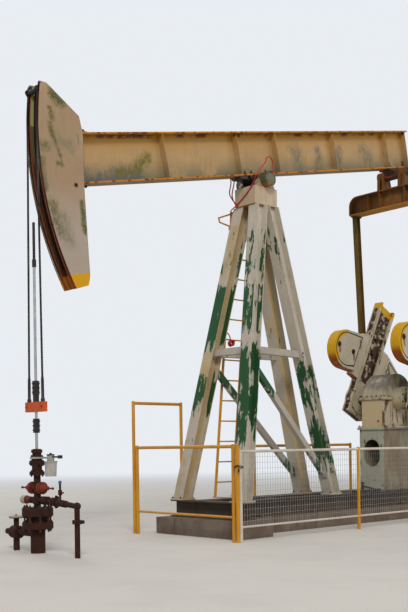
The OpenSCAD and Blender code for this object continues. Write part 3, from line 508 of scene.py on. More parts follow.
def beam_overlays():
    """Ochre high on the web, rust and painted shade under the top flange, damp low on it, stains, orange
    flanges with chips of rust.
    """
    flange = wider(0.1085, 0.002)
    high = high_on_beam(BEAM_DROP + BEAM_DEPTH - 0.075, 0.03, 0.06)
    damp = stains((-3.2, 4.66, -2.3, 4.88, 0.12), (-0.8, 5.08, -0.5, 5.15, 0.09), fine=0.18)
    moss = stains((-2.62, 4.9, -2.25, 5.0, 0.05), (-2.34, 5.0, -2.12, 5.2, 0.06), fine=0.12)
    drips = stains(
        (0.92, 5.88, 0.99, 5.66, 0.1),
        (1.45, 5.98, 1.46, 5.76, 0.08),
        (1.98, 6.13, 2.0, 5.9, 0.07),
        (2.65, 6.24, 2.81, 6.06, 0.12),
        fine=0.2,
        strength=0.7,
    )
    return [
        (high_on_beam(0.46, 0.26, 0.2), "B4832E"),
        # dark brown patches right under the top flange: rust and painted shade
        (both(patches(0.22, 0.48, 0.6, (1, 1, 0.3), 5.2), high), "6B4420"),
        (both(patches(0.3, 0.3, 0.55, (1, 1, 0.8), 1.3), low_on_beam(0.42, 0.3, 0.2)), "82785E"),
        (damp, "5E605C"),
        (moss, "665F24"),
        (drips, "6E6A56"),
        (both(layer(0.02, 0.1085), low_on_beam(0.12, 0.005)), "8E6A34"),
        (flange, "C07A1C"),
        (both(flange, patches(0.07, 0.52, 0.6, (1, 1, 0.7))), "5A3218"),
        (patches(0.035, 0.69, 0.72), "6A3C1C"),
    ]


# Each coat: name, colours, patch, grimy, rusty, edge, and rough where it isn't 0.55, as weathered takes them.
# The comments say what each gives the eye
COATS = {
    # bleached by the sun: matt, with algae-green stains where rain runs
    "head": ("alkyd enamel brushed on head plate", "A0876B AC957B 84745A 6E3420", 0.8, 0.35, 0.1, 0.9),
    # matt tan web, ochre under the top flange with dark patches of rust and painted shade right against it,
    # grey-green damp low down
    "beam": ("alkyd enamel brushed on rolled beam", "AC8D60 B89A70 94764A 7B4B22", 1.1, 0.45, 0.12, 0.7),
    # warm and matt, rust-stained along its lower edge
    "cap": ("alkyd enamel on post cap", "B9A68B C6B7A0 94866C 8A4A1E", 0.4, 0.4, 0.15, 0.7),
    # pale pedestal, thin olive paint on the barrel, rust below where water hangs
    "bearing": (
        "thin paint on cast bearing housing", "A3987E B3A88E 6A6048 8A4A1E", 0.2, 0.6, 0.25, 0.5, 0.5
    ),
    # once glossy: a satin deep yellow, brown where it has chipped
    "yellow": ("safety enamel on steel tube", "C88A10 D1971C 9A6A1A 5E3416", 0.3, 0.35, 0.24, 0.2, 0.42),
    # chalky off-white with thin brown runs
    "white_rail": ("chalked enamel on steel tube", "C9C0B4 D6CFC5 A08C78 6E4A33", 0.3, 0.3, 0.2, 0.2),
    # pale enamel broken up by dark scabs of rust, rust and painted shade in patches on its narrow sides, and
    # a yellow tip
    "crank": ("flaking enamel on cast crank", "B3A88F C2B9A3 85745A 4C2A18", 0.3, 0.6, 0.7, 0.8),
    # chalky cream, a paler grey on its upward faces that is a painted highlight, grey dust in patches on top,
    # brown runs on the sides, and a warmer pale tint painted as light on the faces that look towards the head
    "gearbox": ("chalked enamel on cast gear housing", "B2A991 BEB7A3 877A60 7A421C", 0.5, 0.7, 0.3, 0.9),
    # chalky grey-green, chips of the green coat under it, browner on its sides turned from the light, as
    # painted shade with rust runs
    "pedestal": ("chalked enamel on welded pedestal", "A2A392 B0B1A3 7A775F 5B3A22", 0.45, 0.6, 0.24, 0.7),
    # matt red-brown rust, the last of an olive coat, and an orange lower flange
    "equalizer": ("rusted coat on equalizer beam", "7C4C28 8C5E30 4A3420 6E3214", 0.35, 0.7, 0.45, 0.6, 0.7),
    # olive paint worn thin, rust showing through
    "pitman": ("rusted coat on pitman", "5E481C 6A5424 3C2C16 5A3014", 0.4, 0.6, 0.45, 0.5, 0.65),
    # dark and damp where oil creeps, redder where it is dry
    "tail": ("oily rust on cast tail bearing", "40342A 504236 211C17 5E3018", 0.2, 0.8, 0.5, 0.6, 0.6),
    # near black, with a satin shine
    "greased": ("greased steel", "1D1B18 2A2620 0F0E0D 3A2418", 0.15, 0.6, 0.3, 0.3, 0.42),
    # matt red-brown, the whole surface rusted, and darkened to near black as painted shade
    "wellhead": ("rusted forged wellhead fitting", "2E1912 3E2218 180E0A 5E2814", 0.12, 0.6, 0.5, 0.5, 0.8),
    # dull red, with a pale cap on one stem
    "bonnet": ("red oxide paint on valve bonnet", "6A2A1E 7C3A2A 2F1A14 4A2416", 0.08, 0.6, 0.4, 0.5, 0.7),
    # strong orange, chipped dark along its edges
    "bar": ("orange enamel on carrier bar", "C84A0C D05C14 84340F 5A2C14", 0.12, 0.5, 0.3, 0.5, 0.5),
    # mirror bright under a thin film of oil
    "rod": ("polished hard-chromed rod", "A9A9A6 B8B8B6 6E6862 5A4A3C", 0.2, 0.25, 0.0, 0.0, 0.28),
    # bare turned steel gone dull and brown
    "shaft": ("turned steel shaft, rusted", "5E564C 6E665C 332B24 5E3418", 0.1, 0.5, 0.5, 0.3),
    # dark and dusty, rust breaking through the scale
    "skid": ("mill-scaled skid steel", "4A4036 5A5044 2C241D 5E3820", 0.5, 0.6, 0.5, 0.5, 0.75),
    # sandy cement skin, water marks, fine pores
    "concrete": ("board-cast concrete", "6E6053 82756A 4A4038 5A4636", 0.6, 0.7, 0.1, 0.3, 0.9),
    # soft grey-green sheen, dust between the fins
    "motor": ("grey-green enamel on cast motor", "5D6B60 6E7B70 343A34 5A3A22", 0.25, 0.5, 0.2, 0.5, 0.5),
    # even red with a low sheen
    "hose": ("extruded red rubber hose", "A3161A B02A28 5A1612 7A1A16", 0.05, 0.4, 0.1, 0.0, 0.45),
    # matt black, greyed by dust
    "rubber": ("vulcanised belt rubber", "171717 242423 3A3630 2A2622", 0.1, 0.5, 0.1, 0.4, 0.7),
    # coarse dark rust
    "bolt": ("rusted forged bolt", "3A2A20 4A3628 1F1713 6A3418", 0.03, 0.6, 0.5, 0.4, 0.7),
    # flat black line
    "black_line": ("bitumen in groove", "1A1714 26211C 0F0D0B 3A2A1E", 0.1, 0.5, 0.2, 0.0, 0.6),
    # pale grey, spotted with rust where it has chipped
    "pot": ("chipped enamel on leak pot", "A9A6A2 BAB7B3 6E665E 5A4638", 0.12, 0.7, 0.6, 0.6, 0.6),
    # even blue with a waxy sheen
    "blue_cap": ("moulded polythene cap", "2F5F9E 3E70AC 26405E 4A4A4A", 0.05, 0.4, 0.0, 0.0, 0.45),
}

# What else differs from weathered's own values
MORE = {
    "greased": {"metallic": 0.3},
    "wellhead": {"grain": 0.006},
    "bonnet": {"grain": 0.006},
    "rod": {"metallic": 0.85, "relief": 0.0002},
    "shaft": {"metallic": 0.5},
    "concrete": {"grain": 0.008, "relief": 0.004},
    "hose": {"relief": 0.0003},
    "rubber": {"relief": 0.0004},
    "bolt": {"grain": 0.004},
    "blue_cap": {"relief": 0.0003},
}


def make_finishes():
    """Every finish by its short name."""
    made = leg_finishes()
    made["weight_front"] = weight_paint(1, "enamel on cast counterweight ahead of crank")
    made["weight_rear"] = weight_paint(-1, "enamel on cast counterweight behind crank")
    made["wire"] = galvanised()
    made["rope"] = laid_rope()
    tip = beyond(CRANK_ALONG, CRANK_ALONG.dot(SHAFT) + 1.82, 0.004, 0.06)
    stem_cap = both(beyond((0, 1, 0), 0.228, 0.004), below(0.7, 0.004))
    overlays = {
        "head": head_overlays(),
        "beam": beam_overlays(),
        "cap": [(below(4.864, 0.003, 0.006), "A9712E")],
        "bearing": [
            (outside(round_of(PIVOT, 0.118, 0.004)), "56553A"),
            (stains((-0.12, 5.11, 0.12, 5.11, 0.035), fine=0.04), "A8601F"),
            (above(5.29, 0.04, 0.05), "33332A"),
        ],
        # dark brown patches on the crank's narrow sides: rust and painted shade
        "crank": [(both(layer(0.626, 0.718), patches(0.13, 0.4, 0.5)), "3E281B"), (tip, "D2A212")],
        "gearbox": [
            # paler grey on upward faces high on the case: painted highlight
            (both(facing((0, -0.2, 1), 0.5, 0.9), above(2.3, 0.2)), "B4B6B0"),
            (both(patches(0.18, 0.36, 0.58, (1, 1, 0.6)), above(2.1, 0.15, 0.1)), "7F7B70"),
            (both(patches(0.12, 0.52, 0.6, (1, 1, 0.35)), below(2.1, 0.1, 0.2)), "6E4A2C"),
            # paler and warmer on faces that look towards the head, low on the case: painted light on the lit
            # side
            (both(facing((-1, 0, 0), 0.4, 0.7), below(2.03, 0.02)), "C3B18E"),
        ],
        "pedestal": [
            (patches(0.09, 0.63, 0.65, (1, 1, 0.6), 4.4), "2F6B45"),
            # browner patches on faces that look to -Y: painted shade with rust runs
            (both(patches(0.3, 0.22, 0.62, (1, 1, 0.3), 2.0), facing((0.3, -1, 0), 0.4, 0.7)), "7A6B57"),
            # darker patches on faces that look to +X: painted shade
            (both(patches(0.16, 0.42, 0.6, (1, 1, 0.3), 2.0), facing((1, 0, 0), -0.2, 0.5)), "5E5443"),
        ],
        "equalizer": [
            (patches(0.25, 0.5, 0.62, (1, 1, 0.5), 6.0), "57502A"),
            (below(TAIL.z - 0.55, 0.003), "B07A2C"),
        ],
        "bonnet": [(both(stem_cap, patches(0.05, 0.3, 0.42)), "AFA89C")],
    }
    for key, row in COATS.items():
        made[key] = weathered(*row, overlays=overlays.get(key, ()), **MORE.get(key, {}))
    return made


def galvanised():
    """Hot-dipped zinc on drawn wire: dull pale grey with a light spangle."""
    material, tree, shader, at = new_material("hot-dipped galvanised wire")
    spangle = add(tree, "TexVoronoi", {"Vector": at, "Scale": 1 / 0.012}, "Color")
    grey = add(tree, "SeparateXYZ", [spangle])
    colour = add(tree, "Mix", {0: grey, 6: linear("8F918F"), 7: linear("B4B5B2")}, 2, data_type="RGBA")
    dull = add(tree, "MapRange", [cloud(tree, at, 0.4), 0.4, 0.65], **SOFT)
    dull = add(tree, "Math MULTIPLY", [dull, 0.5])
    colour = add(tree, "Mix", {0: dull, 6: colour, 7: linear("8A7F70")}, 2, data_type="RGBA")
    tree.links.new(colour, shader.inputs["Base Color"])
    shader.inputs["Metallic"].default_value = 0.5
    shader.inputs["Roughness"].default_value = 0.5
    return material


def laid_rope():
    """Laid steel rope under black grease. Its strands are real twisted tubes, so this is only the dirt."""
    material, tree, shader, at = new_material("greased wire rope")
    dust = add(tree, "MapRange", [cloud(tree, at, 0.05, 6, 0.7, (1, 1, 0.3)), 0.5, 0.72], **SOFT)
    colour = add(tree, "Mix", {0: dust, 6: linear("171513"), 7: linear("4A4038")}, 2, data_type="RGBA")
    rough = add(tree, "Math MULTIPLY", [dust, 0.4])
    rough = add(tree, "Math ADD", [0.36, rough])
    tree.links.new(colour, shader.inputs["Base Color"])
    tree.links.new(rough, shader.inputs["Roughness"])
    shader.inputs["Metallic"].default_value = 0.35
    return material


# The materials by their short names, once the finishes operator has made them
FINISH = {}

# The solids that get each finish
NODE_FINISHES = {
    "concrete": ["foundation"],
    "skid": ["skid_rails", "skid_cross_beams", "motor_base"],
    "front_near": ["leg_front_near"],
    "front_far": ["leg_front_far"],
    "rear_near": ["leg_rear_near"],
    "rear_far": ["leg_rear_far"],
    "braces": ["ties", "diagonals"],
    "cap": ["post_cap"],
    "bearing": ["bearing_near", "bearing_far"],
    "yellow": ["ladder", "fence_front", "fence_tall_frame", "fence_far", "fence_near_posts", "belt_guard"],
    "white_rail": ["fence_near"],
    "hose": ["grease_line_post", "grease_line_tail"],
    "pedestal": ["gearbox_pedestal"],
    "gearbox": ["gear_case", "gear_cover"],
    "tail": ["tail_bearing", "unit_sheave", "motor_sheave", "brake_drum"],
    "rubber": ["belts"],
    "motor": ["motor"],
    "greased": ["brake_latch", "saddle", "rope_anchor", "rod_clamps"],
    "wellhead": ["casing_head", "tubing_spool", "pumping_tee", "stuffing_box", "flow_line", "side_valve"],
    "bonnet": ["spool_valves"],
    "pot": ["leak_pot"],
    "beam": ["walking_beam"],
    "head": ["horsehead"],
    "rope": ["rope_wraps", "hanging_ropes"],
    "equalizer": ["equalizer"],
    "pitman": ["pitman_near", "pitman_far"],
    "shaft": ["crankshaft"],
    "crank": ["crank_near", "crank_far"],
    "weight_front": ["weight_front_near", "weight_front_far"],
    "weight_rear": ["weight_rear_near", "weight_rear_far"],
    "rod": ["polished_rod"],
    "bar": ["carrier_bar"],
}


def aimed(origin, direction):
    """A matrix whose Z axis looks along the direction, and whose X axis is level."""
    z = Vector(direction).normalized()
    side = Vector(UP).cross(z)
    if side.length < 1e-4:
        side = Vector((1, 0, 0)).cross(z)
    x = side.normalized()
    y = z.cross(x)
    rot = Matrix((x, y, z)).transposed().to_4x4()
    return Matrix.Translation(Vector(origin)) @ rot


def circle(r, count):
    """Points round the origin, in the plane z = 0."""
    turns = (2 * math.pi * i / count for i in range(count))
    return [Vector((r * math.cos(a), r * math.sin(a), 0)) for a in turns]


def loops(bm, rings, closed=False):
    """Skins a row of rings of equally many points, and caps its ends unless it closes on itself."""
    rows = [[bm.verts.new(p) for p in ring] for ring in rings]
    count = len(rows[0])
    pairs = list(zip(rows, rows[1:]))
    if closed:
        pairs.append((rows[-1], rows[0]))
    for a, b in pairs:
        for i in range(count):
            j = (i + 1) % count
            bm.faces.new((a[i], a[j], b[j], b[i]))
    if not closed:
        bm.faces.new(list(reversed(rows[0])))
        bm.faces.new(rows[-1])


def turned(bm, place, profile, steps=24, closed=False):
    """Solid of revolution. profile is (radius, height) from one end to the other, or all round for a ring."""
    loops(bm, [[place @ (p + Vector((0, 0, h))) for p in circle(r, steps)] for r, h in profile], closed)


def prism(bm, place, outline, h0, h1, chamfer=0.0):
    """Solid from an outline, with chamfered ends."""
    mid = sum((Vector(p[:2]) for p in outline), Vector((0, 0))) / len(outline)
    rows = []
    for inset, h in ((chamfer, h0), (0, h0 + chamfer), (0, h1 - chamfer), (chamfer, h1)):
        arms = [Vector(p[:2]) - mid for p in outline]
        corners = [mid + arm * (1 - inset / arm.length) for arm in arms]
        rows.append([place @ Vector((*corner, h)) for corner in corners])
    loops(bm, rows)


def brick(bm, place, size, chamfer=0.003):
    """Rectangular block centred on the place, standing on it along Z."""
    x, y = size[0] / 2, size[1] / 2
    prism(bm, place, [(-x, -y), (x, -y), (x, y), (-x, y)], 0, size[2], chamfer)


def bolt(bm, place, r, stud=0.6):
    """Hexagon nut on a washer, with the stud's end standing out. Heights are shares of the nut's radius."""
    turned(bm, place, [(1.3 * r, -0.0005), (1.3 * r, 0.14 * r), (1.1 * r, 0.2 * r)], 16)
    prism(bm, place @ Matrix.Translation((0, 0, 0.18 * r)), circle(r, 6), 0, 0.8 * r, 0.08 * r)
    shank = [(0.5, 0.97), (0.5, 0.98 + stud * 0.85), (0.4, 0.98 + stud)]
    turned(bm, place, [(width * r, height * r) for width, height in shank], 10)


def smooth_path(points, per=8):
    """Points of a smooth curve through the given ones."""
    pts = [Vector(p) for p in points]
    pts = [2 * pts[0] - pts[1], *pts, 2 * pts[-1] - pts[-2]]
    out = []
    for i in range(1, len(pts) - 2):
        a, b, c, d = pts[i - 1 : i + 3]
        for k in range(per):
            t = k / per
            bend = (2 * a - 5 * b + 4 * c - d) * t * t + (3 * b - a - 3 * c + d) * t**3
            out.append(0.5 * (2 * b + (c - a) * t + bend))
    out.append(pts[-2])
    return out


def frames_on(points):
    """Matrices along a path, carried without twist."""
    out = []
    side = None
    for i, p in enumerate(points):
        ahead = (points[min(i + 1, len(points) - 1)] - points[max(i - 1, 0)]).normalized()
        if side is None:
            side = ahead.orthogonal().normalized()
        side = (side - ahead * side.dot(ahead)).normalized()
        up = ahead.cross(side)
        out.append(Matrix.Translation(p) @ Matrix((side, up, ahead)).transposed().to_4x4())
    return out


def tube(bm, points, r, steps=10, closed=False):
    """Round tube along a path. A closed path ends where it begins."""
    rings = [[place @ p for p in circle(r, steps)] for place in frames_on([Vector(p) for p in points])]
    loops(bm, rings[:-1] if closed else rings, closed)


def strands(bm, points, r, count=6, lay=0.18, steps=6):
    """Rope of twisted strands along a path. lay is the length of one turn."""
    places = frames_on(points)
    run = 0.0
    centres = [[] for _ in range(count)]
    for i, place in enumerate(places):
        if i:
            run += (points[i] - points[i - 1]).length
        for k in range(count):
            a = 2 * math.pi * (k / count + run / lay)
            centres[k].append(place @ Vector((0.62 * r * math.cos(a), 0.62 * r * math.sin(a), 0)))
    for path in centres:
        tube(bm, path, 0.4 * r, steps)
    tube(bm, points, 0.5 * r, steps)


def piece(name, bm, finish, body, smooth=35):
    """A finished object from the mesh, riding on a body."""
    bmesh.ops.recalc_face_normals(bm, faces=bm.faces)
    mesh = bpy.data.meshes.new(name)
    bm.to_mesh(mesh)
    bm.free()
    mesh.materials.append(FINISH[finish])
    mesh.set_sharp_from_angle(angle=math.radians(smooth))
    for polygon in mesh.polygons:
        polygon.use_smooth = True
    obj = bpy.data.objects.new(name, mesh)
    bpy.context.scene.collection.objects.link(obj)
    if body:
        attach(obj, body)
    return obj


def ringed(centre, axis, radius, count):
    """Places round an axis, all facing along it, the first half a step past the start."""
    place = aimed(centre, axis)
    turns = (2 * math.pi * (i + 0.5) / count for i in range(count))
    return [place @ Matrix.Rotation(a, 4, "Z") @ Matrix.Translation((radius, 0, 0)) for a in turns]


def faced(xs, ys, zs, direction):
    """Places on a grid, all facing one way."""
    return [aimed((x, y, z), direction) for x in xs for y in ys for z in zs]


def bolts(name, body, places, r, stud=0.6, finish="bolt"):
    bm = bmesh.new()
    for place in places:
        bolt(bm, place, r, stud)
    return piece(name, bm, finish, body)


def hoop(bm, place, big, small, steps=32, sides=8):
    """Round ring about the place's Z axis."""
    rings = []
    for p in circle(big, steps):
        out = p.normalized()
        rings.append([place @ (p + out * c.x + Vector((0, 0, c.y))) for c in circle(small, sides)])
    loops(bm, rings, closed=True)


def length(name, description, default, low, high):
    """A length that a user may change, in metres."""
    sizes = {"default": default, "min": low, "max": high}
    return FloatProperty(name=name, description=description, unit="LENGTH", **sizes)


class PumpjackLook(bpy.types.PropertyGroup):
    nut_radius: length("Nut radius", "Across the corners of the flange nuts, halved", 0.022, 0.008, 0.04)
    mesh_width: length("Mesh width", "Spacing of the upright fence wires", 0.05, 0.02, 0.2)
    mesh_height: length("Mesh height", "Spacing of the level fence wires", 0.075, 0.02, 0.2)
    wire: length("Wire", "Diameter of the fence wire", 0.004, 0.001, 0.01)
    rope: length("Rope", "Diameter of the bridle ropes", 0.028, 0.01, 0.05)
    rope_spread: length(
        "Rope spread", "Distance of each rope from the centre plane at the bar", 0.15, 0.1, 0.2,
    )
    belts: IntProperty(name="Belts", description="Number of V belts", default=5, min=1, max=10)
    floor: FloatVectorProperty(
        name="Floor",
        description="Colour of the floor",
        default=linear("DAD8D3")[:3],
        subtype="COLOR",
        size=3,
        min=0,
        max=1,
    )


def look():
    return bpy.context.scene.pumpjack_look


class PUMPJACK_OT_finishes(bpy.types.Operator):
    """Give every solid its finish"""

    bl_idname = "pumpjack.finishes"
    bl_label = "Finishes"

    def execute(self, context):
        FINISH.update(make_finishes())
        done = set()
        for finish, names in NODE_FINISHES.items():
            for name in names:
                obj = NODES[name]
                obj.data.materials.clear()
                obj.data.materials.append(FINISH[finish])
                done.add(name)
        missing = set(NODES) - done
        if missing:
            raise RuntimeError("no finish for " + ", ".join(sorted(missing)))
        return {"FINISHED"}


class PUMPJACK_OT_ropes(bpy.types.Operator):
    """Hang the bridle ropes between the head and the carrier bar"""

    bl_idname = "pumpjack.ropes"
    bl_label = "Bridle ropes"

    def execute(self, context):
        r = look().rope / 2
        for side, word in ((-1, "near"), (1, "far")):
            y = ROPE_Y * side
            # the part on the head winds on as the beam turns
            bm = bmesh.new()
            wound, steps = math.radians(5.5), 60
            arc = []
            for i in range(steps + 1):
                a = wound * i / steps
                arc.append(Vector((ROPE_X * math.cos(a), y, PIVOT.z - ROPE_X * math.sin(a))))
            strands(bm, arc, r)
            bridle = piece(f"bridle_on_head_{word}", bm, "rope", None)
            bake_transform(bridle)
            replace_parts(bridle, "rope_wraps")
            # the hanging part shortens as the rod rises
            bm = bmesh.new()
            low = Vector((ROPE_X, look().rope_spread * side, BAR_TOP + 0.01))
            top = Vector((ROPE_X, y, PIVOT.z))
            steps = 110
            strands(bm, [top.lerp(low, i / steps) for i in range(steps + 1)], r)
            hanging = piece(f"bridle_hanging_{word}", bm, "rope", FRAME_BODY)
            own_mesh(hanging)
            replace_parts(hanging, "hanging_ropes")
            # swaged socket that ends the rope on the bar
            bm = bmesh.new()
            up = (top - low).normalized()
            turned(
                bm,
                aimed(low - up * 0.01, up),
                [(0.026, 0), (0.026, 0.03), (0.019, 0.045), (0.0185, 0.26), (0.0155, 0.3), (0.015, 0.3)],
                20,
            )
            piece(f"rope_socket_{word}", bm, "greased", ROD_BODY)
        return {"FINISHED"}


class PUMPJACK_OT_rod(bpy.types.Operator):
    """Run the polished rod on down into the stuffing box"""

    bl_idname = "pumpjack.rod"
    bl_label = "Polished rod"

    def execute(self, context):
        # the rod that the stuffing box hides comes out as the rod rises
        bm = bmesh.new()
        low, high, steps = 0.22, 1.4, 40
        rings = [(0.0179, low + (high - low) * i / steps) for i in range(steps + 1)]
        turned(bm, Matrix.Translation((ROPE_X, 0, 0)), rings)
        rod = piece("rod_in_box", bm, "rod", None)
        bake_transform(rod)
        return {"FINISHED"}


class PUMPJACK_OT_beam_fittings(bpy.types.Operator):
    """Bolt the head, the saddle and the tail bearing to the beam"""

    bl_idname = "pumpjack.beam_fittings"
    bl_label = "Beam fittings"

    def execute(self, context):
        top = BEAM_DROP + BEAM_FLANGE
        places = [BEAM @ p for p in faced((-0.3, -0.16, 0.16), (-0.085, 0.085), (top,), UP)]
        bolts("saddle_bolts", BEAM_BODY, places, 0.021, 1.6, "greased")
        places = [BEAM @ p for p in faced((TAIL_ARM - 0.2, TAIL_ARM + 0.2), (-0.082, 0.082), (top,), UP)]
        bolts("tail_bearing_bolts", BEAM_BODY, places, 0.026, 2.6, "greased")
        places = [BEAM @ p for p in faced((-3.13,), (-0.055, 0.055), (BEAM_DROP + BEAM_DEPTH + 0.018,), UP)]
        places += [BEAM @ p for p in faced((-3.25,), (-0.055, 0.055), (BEAM_DROP - 0.018,), DOWN)]
        places += [aimed((-3.396, 0.135 * side, 4.567), (0, side, 0)) for side in (-1, 1)]
        bolts("head_bolts", BEAM_BODY, places, 0.02)
        # ropes turned over a bar at the head's top, with their cut ends standing up behind it
        top_frame = BEAM @ Matrix.Rotation(math.radians(18), 4, "Y")
        ends, wires = bmesh.new(), bmesh.new()
        over_bar = [(0.0145, -0.012), (0.03, 0.002), (0.045, 0.018), (0.05, 0.033)]
        over_bar += [(0.044, 0.05), (0.03, 0.06), (0.012, 0.062), (-0.004, 0.054)]
        for side in (-1, 1):
            path = [top_frame @ Vector((-HEAD_R - d, ROPE_Y * side, h)) for d, h in over_bar]
            strands(ends, smooth_path(path, 5), look().rope / 2)
            for k, (lean, rise) in enumerate(((0.0, 0.05), (0.03, 0.03), (-0.035, 0.015))):
                y = (ROPE_Y + lean) * side
                path = [(-3.935, ROPE_Y * side, 0.06), (-3.94, y, 0.07 + rise)]
                path += [(-3.915 + 0.01 * k, y * 0.94, 0.085 + rise), (-3.885, y * 0.86, 0.08)]
                tube(wires, [top_frame @ Vector(p) for p in smooth_path(path, 6)], 0.0055, 6)
        piece("rope_end_wires", wires, "rope", BEAM_BODY)
        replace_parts(piece("rope_ends", ends, "rope", BEAM_BODY), "rope_anchor")
        bm = bmesh.new()
        across = top_frame @ Matrix(((-1, 0, 0, -HEAD_R), (0, 0, 1, 0), (0, 1, 0, 0), (0, 0, 0, 1)))
        hump = [(0.0005, 0), (0.028, 0.002), (0.04, 0.016), (0.042, 0.036), (0.032, 0.054), (0.0005, 0.06)]
        prism(bm, across, hump, -0.078, 0.078, 0.006)
        ring = [(0.012, -0.118), (0.018, -0.114), (0.018, -0.084), (0.024, -0.082)]
        ring += [(r, -h) for r, h in reversed(ring)]
        turned(bm, across @ Matrix.Translation((0.02, 0.033, 0)), ring, 20)
        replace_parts(piece("rope_bar", bm, "greased", BEAM_BODY), "rope_anchor")
        bm = bmesh.new()
        path = ((3.18, 0.094), (3.183, 0.03), (3.22, -0.03), (3.31, -0.05), (3.42, -0.038), (3.515, -0.012))
        tube(bm, [BEAM @ p for p in smooth_path([(x, -0.06, z) for x, z in path])], 0.008)
        nipple = BEAM @ aimed((3.18, -0.06, BEAM_DROP), DOWN)
        turned(bm, nipple, [(0.014, 0), (0.014, 0.018), (0.01, 0.024)], 6)
        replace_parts(piece("tail_hose", bm, "hose", BEAM_BODY), "grease_line_tail")
        return {"FINISHED"}


def ladder_rail(z):
    """Point just behind the ladder's rail towards the head, at a height."""
    return Vector((-0.396 + 0.055 * z, 0.63 - 0.0504 * (z - SKID_TOP), z))


class PUMPJACK_OT_post_fittings(bpy.types.Operator):
    """Fit covers, hoses and bolts to the post"""

    bl_idname = "pumpjack.post_fittings"
    bl_label = "Post fittings"

    def execute(self, context):
        bm = bmesh.new()
        places = []
        for side in (-1, 1):
            out = (0, side, 0)
            dish = [(0.1095, -0.002), (0.1125, 0.002), (0.1125, 0.007), (0.104, 0.011)]
            dish += [(0.07, 0.0135), (0.03, 0.0145)]
            turned(bm, aimed((0, 0.3 * side, PIVOT.z), out), dish, 40)
            places += ringed((0, 0.3105 * side, PIVOT.z), out, 0.094, 6)
        piece("bearing_covers", bm, "bearing", FRAME_BODY)
        bolts("bearing_cover_bolts", FRAME_BODY, places, 0.008, 0.3)
        places = faced((-0.216, 0.216), (-0.165, 0.165), (CAP_TOP,), UP)
        bolts("pedestal_bolts", FRAME_BODY, places, 0.017, 1.0)
        places = faced((-1.132, -0.888), (-0.71, -0.54, 0.54, 0.71), (PLATE_TOP,), UP)
        places += faced((1.188, 1.432), (-0.382, -0.23, 0.23, 0.382), (PLATE_TOP,), UP)
        bolts("foot_bolts", FRAME_BODY, places, 0.0135, 0.9)
        places = []
        for side in (-1, 1):
            for x, y in ((-0.5655, 0.387), (0.7105, 0.2335)):
                places += faced((x - 0.032, x + 0.032), (side * (y + 0.004),), (2.63, 2.69), (0, side, 0))
        bolts("tie_bolts", FRAME_BODY, places, 0.012)

        # red grease hoses: over the near bearing, down to the ladder, and two slack ones to the beam
        clip = Vector((-0.257, 0.16, CAP_TOP - 0.241))
        arch = (math.pi * i / 6 for i in range(7))
        over_top = [(-0.034 - 0.078 * math.cos(a), -0.316, 5.465 + 0.085 * math.sin(a)) for a in arch]
        path = [clip, (-0.26, 0.02, 4.972), (-0.262, -0.13, 5.082), (-0.278, -0.29, 5.25)]
        path += [(-0.215, -0.318, 5.352), *over_top, (0.044, -0.318, 5.375), (0.044, -0.304, 5.322)]
        bm = bmesh.new()
        tube(bm, smooth_path(path, 6), HOSE_R)
        turned(bm, aimed((0.044, -0.3, 5.32), (0, -1, 0)), [(0.014, 0), (0.014, 0.012), (0.01, 0.018)], 6)
        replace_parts(piece("bearing_hose", bm, "hose", FRAME_BODY), "grease_line_post")
        bm = bmesh.new()
        brick(bm, aimed((-0.242, 0.16, clip.z), (-1, 0, 0)), (0.05, 0.05, 0.026), 0.006)
        # its spare end is coiled up below a rung
        path = [clip, (-0.262, 0.215, 4.858), (-0.215, 0.325, 4.842), (-0.15, 0.4, 4.79)]
        path += [ladder_rail(4.6), ladder_rail(3.3), ladder_rail(3.06) + Vector((0.03, 0, 0))]
        path.append(ladder_rail(2.97) + Vector((0.07, -0.05, 0)))
        for i in range(50):
            a, wide = 0.5 + 2 * math.pi * i / 12, 0.045 - 0.005 * math.cos(i * 0.45)
            x, z = -0.142 + wide * math.sin(a), 2.845 + 0.9 * wide * math.cos(a)
            path.append(Vector((x, 0.458 - 0.0012 * i, z)))
        tube(bm, smooth_path(path, 4), HOSE_R)
        piece("ladder_hose", bm, "hose", FRAME_BODY)
        for word, slip, bulge in (("a", 0.0, 0.03), ("b", 0.035, 0.0)):
            a = clip + Vector((-0.008, slip * 0.5, 0.012))
            b = BEAM @ Vector((-0.5 + slip, 0.03 - slip, BEAM_DROP + 0.002))
            mid = a.lerp(b, 0.5) + Vector((-bulge - 0.02, 0.03, -0.03))
            bm = bmesh.new()
            rise = a.lerp(mid, 0.5) + Vector((-0.012, 0.01, 0))
            turn = mid.lerp(b, 0.55) + Vector((0.02, 0, 0.02))
            tube(bm, smooth_path([a, rise, mid, turn, b], 10), HOSE_R)
            slack = piece(f"slack_hose_{word}", bm, "hose", None)
            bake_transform(slack)
        return {"FINISHED"}


